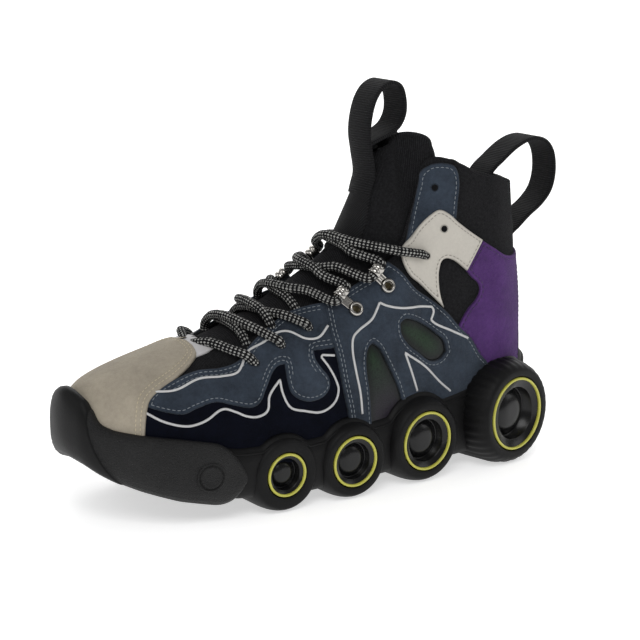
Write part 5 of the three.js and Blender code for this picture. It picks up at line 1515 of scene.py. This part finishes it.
# pale piping lines, in millimetres along and up the shoe
pipingSizes = {"wide": .65, "tall": .5}
pipingLines = [
    ("vamp", [(263, 69), (254, 69), (239, 73), (227, 73), (218, 74), (214, 77), (209, 82), (198, 86),
              (188, 90), (183, 90), (175, 86), (168, 86), (161, 91)]),
    ("rand", [(271, 60), (263, 55), (252, 52), (244, 53), (241, 54), (231, 58), (225, 56), (219, 53),
              (213, 52), (207, 54), (204, 61), (196, 68), (196, 61), (193, 54), (185, 51), (174, 49),
              (165, 53), (162, 59), (163, 64), (166, 71), (169, 76), (168, 77), (161, 76)]),
    ("quarter", [(129, 100), (131, 97), (135, 92), (144, 87), (148, 84), (150, 78), (150, 67), (149, 56),
                 (149, 44)]),
    ("quarter", [(129, 100), (125, 98), (117, 96), (103, 95), (96, 94), (95, 92), (97, 87), (95, 85),
                 (85, 80), (73, 74)]),
    ("quarter", [(110, 50), (117, 72), (103, 62), (93, 52), (86, 46)]),
]
turns = np.arange(8) * math.pi / 4
pipingSection = np.stack([pipingSizes["wide"] * np.cos(turns), pipingSizes["tall"] * np.sin(turns)], -1)
for side in both:
    paths = []
    for panel, line in pipingLines:
        fine = smoothLine(np.array(line, float), 1.2, corner=50)
        ts = findOnSkin(fine, side, lifts[panel])
        path = onNet(ts[:, 0], ts[:, 1], side, np.full(len(ts), lifts[panel] + .1))
        paths.append((path, unit(readNet(outward[side], ts[:1, 0], ts[:1, 1]))[0]))
    piping = sweep(f"piping_{words[side]}", paths, pipingSection, .9)
    finishPiece(piping, finishes["piping"])

# punched eyelets: a dark well in a pressed ring
eyeletSizes = {"radius": 1.7, "ring": .7}
eyeletPlaces = [(row[0], lifts["vamp"], "blue") for row in laceRows[:3]]
eyeletPlaces += [((.294, .770), lifts["collarTab"], "blue"), ((.284, .661), lifts["wing"], "bone"),
                 ((.317, .590), lifts["wing"], "bone")]


def makeEyelet(tail, base, out, finish):
    r, ring = eyeletSizes["radius"], eyeletSizes["ring"]
    profile = [(r, -.3), (r, .1), (r + .3 * ring, .28), (r + .7 * ring, .22), (r + ring, .0), (r + ring, -.3),
               (r, -.3)]
    rim = turned(f"eyeletRim_{tail}", profile, 24, base, out)
    finishPiece(rim, finishes[finish])
    profile = [(0, -.25), (r + .1, -.25), (r + .1, .14), (0, .14)]
    hole = turned(f"eyeletWell_{tail}", profile, 24, base, out)
    finishPiece(hole, finishes["smooth"])


for side in both:
    for k, (place, top, finish) in enumerate(eyeletPlaces):
        base, out = skinAt(place, side, top)
        makeEyelet(f"{words[side]}_{k + 1}", base, out, finish)


# lip bead along the rim
def makeBead(side):
    section = soleSizes["beadRadius"] * np.stack([np.cos(turns), np.sin(turns)], -1)
    half = [wall[soleSizes["beadRow"]][side * k % count] for k in range(stations + 1)]
    path = np.array([point for point in half if point[0] < soleSizes["beadEnd"] * last["length"]])
    bead = sweep(f"rimBead_{words[side]}", [(path[::2], (0, side, 0))], section, 1.2)
    finishPiece(bead, finishes["rubber"])


# the button on the toe guard, and the ring round it
def makeButton(side):
    t = np.interp(soleSizes["buttonAt"] * last["length"], basePoint(netT, side)[:, 0], netT)
    foot, out = basePoint(np.array([t]), side)[0], baseNormal(np.array([t]), side)[0]
    spot = foot + out * soleSizes["guardFlange"]
    spot[2] = guardMiddle
    r = soleSizes["button"]
    profile = [(0, -2), (r, -2), (r, .15), (r - .3, .45), (r - 1.0, .55), (r - 1.4, .4), (0, .45)]
    button = turned(f"button_{words[side]}", profile, 48, spot, out)
    finishPiece(button, finishes["rubberGrain"])
    profile = [(r + .6, -2), (r + .7, .1), (r + 1.0, .4), (r + 1.5, .4), (r + 1.9, -.1), (r + 2.0, -2),
               (r + .6, -2)]
    collar = turned(f"buttonRing_{words[side]}", profile, 48, spot, out)
    finishPiece(collar, finishes["rubberGrain"])


for side in both:
    makeBead(side)
    makeButton(side)
print("stitches and piping made")

# webbing loops
webbing = {"width": 20, "thickness": 2.2, "room": 1.1, "insideRoom": 3.9, "sewnDepth": 3.2, "lean": 20}
tongueRise = [(.397, .865), (.400, .910), (.395, .960), (.383, 1.005), (.366, 1.033), (.345, 1.045),
              (.327, 1.035), (.318, 1.005)]
tongueFall = [(.317, .962), (.328, .930), (.348, .910), (.372, .897), (.395, .885)]
heelFree = [(.045, .612), (.018, .643), (-.012, .672), (-.034, .708), (-.043, .760), (-.037, .818),
            (-.020, .848), (.002, .858), (.024, .855), (.046, .843), (.066, .826), (.086, .805),
            (.105, .785), (.117, .763)]


# a place behind the heel
def heelAt(zShare, lift):
    column = skin[1][0]
    u = np.interp(zShare * last["shaft"], column[:, 2], column[:, 0])
    return np.array([u - lift, 0, zShare * last["shaft"]])


def inSide(points):
    flat = share(points)
    return [np.array([u, 0, z]) for u, z in flat]


# a strap's sewn end bows to fit the round shoe behind it
def hugging(reach, bow):
    def shape(section, mark, girth):
        part = max(0, 1 - mark / reach)
        return section + np.stack([0 * section[:, 0], bow * part * section[:, 0]**2], -1)
    return shape


halfWide, halfThick = webbing["width"] / 2, webbing["thickness"] / 2
strapSection = [(-halfWide, 0), (-halfWide * .97, -halfThick * .8), (-halfWide * .92, -halfThick * .9)]
strapSection += [(x * halfWide, -halfThick) for x in np.linspace(-.88, .88, 9)]
strapSection += [(halfWide * .92, -halfThick * .9), (halfWide * .97, -halfThick * .8), (halfWide, 0),
                 (halfWide * .97, halfThick * .8), (halfWide * .92, halfThick * .9)]
strapSection += [(x * halfWide, halfThick) for x in np.linspace(.88, -.88, 9)]
strapSection += [(-halfWide * .92, halfThick * .9), (-halfWide * .97, halfThick * .8)]
sewn = []
for height in (.755, .780, .805):
    lift = webbing["room"] - webbing["sewnDepth"] + webbing["lean"] * (height - .755)
    sewn.append(ridgeAt(2, height, lift) * (1, 0, 1))
path = sewn + inSide(tongueRise + tongueFall)
tongueLoop = sweep("tongueLoop", [(path, (1, 0, 0))], strapSection, .8, hugging(60, -.028))
finishPiece(tongueLoop, finishes["webbing"], ["tongue_loop"])
sewn = [heelAt(height, webbing["room"] + halfThick) for height in (.520, .560, .590)]
lift = padding["liningUnder"] - webbing["insideRoom"] - halfThick
path = sewn + inSide(heelFree) + [heelAt(height, lift) for height in (.735, .690, .650)]
heelLoop = sweep("heelLoop", [(path, (1, 0, 0))], strapSection, .8, hugging(22, .02))
finishPiece(heelLoop, finishes["webbing"], ["heel_loop"])
print("lace and loops made")


# floor, light and camera
def addLight(name, place, aim, size, power):
    data = bpy.data.lights.new(name, "AREA")
    data.shape = "RECTANGLE"
    data.size, data.size_y = size
    data.energy = power
    lamp = bpy.data.objects.new(name, data)
    lamp.location = place
    lamp.rotation_euler = (Vector(aim) - Vector(place)).to_track_quat("-Z", "Y").to_euler()
    bpy.context.collection.objects.link(lamp)


studio = {"size": 3.0, "bendAt": 1.2, "bend": .6, "turn": 34, "glow": .55, "air": .26}
floorMesh = bpy.data.meshes.new("studioFloor")
profile = [(-studio["size"], 0)]
for angle in np.linspace(0, math.pi / 2, 16):
    along = studio["bendAt"] + studio["bend"] * math.sin(angle)
    profile.append((along, studio["bend"] * (1 - math.cos(angle))))
profile.append((studio["bendAt"] + studio["bend"], studio["size"]))
turn = math.radians(studio["turn"])
floorPoints = []
for along, height in profile:
    for across in (-studio["size"], studio["size"]):
        floorPoints.append((across * math.cos(turn) + along * math.sin(turn),
                            -across * math.sin(turn) + along * math.cos(turn), height))
floorFaces = [(2 * k, 2 * k + 1, 2 * k + 3, 2 * k + 2) for k in range(len(profile) - 1)]
floorMesh.from_pydata(floorPoints, [], floorFaces)
floorMesh.polygons.foreach_set("use_smooth", [True] * len(floorMesh.polygons))
studioFloor = bpy.data.objects.new("studioFloor", floorMesh)
bpy.context.collection.objects.link(studioFloor)
white = (1, 1, 1, 1)
floorMesh.materials.append(newFinish("paleFloor", {"Base Color": (.9, .9, .9, 1), "Roughness": .9,
                                                   "Emission Color": white,
                                                   "Emission Strength": studio["glow"]})[0])

world = bpy.data.worlds.new("studio")
bpy.context.scene.world = world
world.use_nodes = True
air = world.node_tree.nodes["Background"]
air.inputs["Color"].default_value = white
air.inputs["Strength"].default_value = studio["air"]
addLight("key", (-.7, -1.1, 1.5), (0, 0, .08), (1.0, 1.0), 12)
addLight("fill", (1.3, -.9, .9), (0, 0, .08), (.8, .8), 2.5)
addLight("front", (-1.4, .3, .9), (0, 0, .08), (.8, .8), 3)
addLight("back", (.5, 1.3, 1.4), (0, 0, .1), (1.2, .8), 6)

view = {"place": (742.653, 884.575, 336.546), "look": (.54521, .80652, -.22863), "lens": 112.5}
cameraData = bpy.data.cameras.new("photoCamera")
cameraData.lens = view["lens"]
cameraData.sensor_width = 36
cameraData.clip_end = 20
camera = bpy.data.objects.new("photoCamera", cameraData)
camera.location = toWorld(np.array(view["place"]))
camera.rotation_euler = Vector(view["look"]).to_track_quat("-Z", "Y").to_euler()
bpy.context.collection.objects.link(camera)
bpy.context.scene.camera = camera
bpy.context.scene.view_settings.view_transform = "Standard"
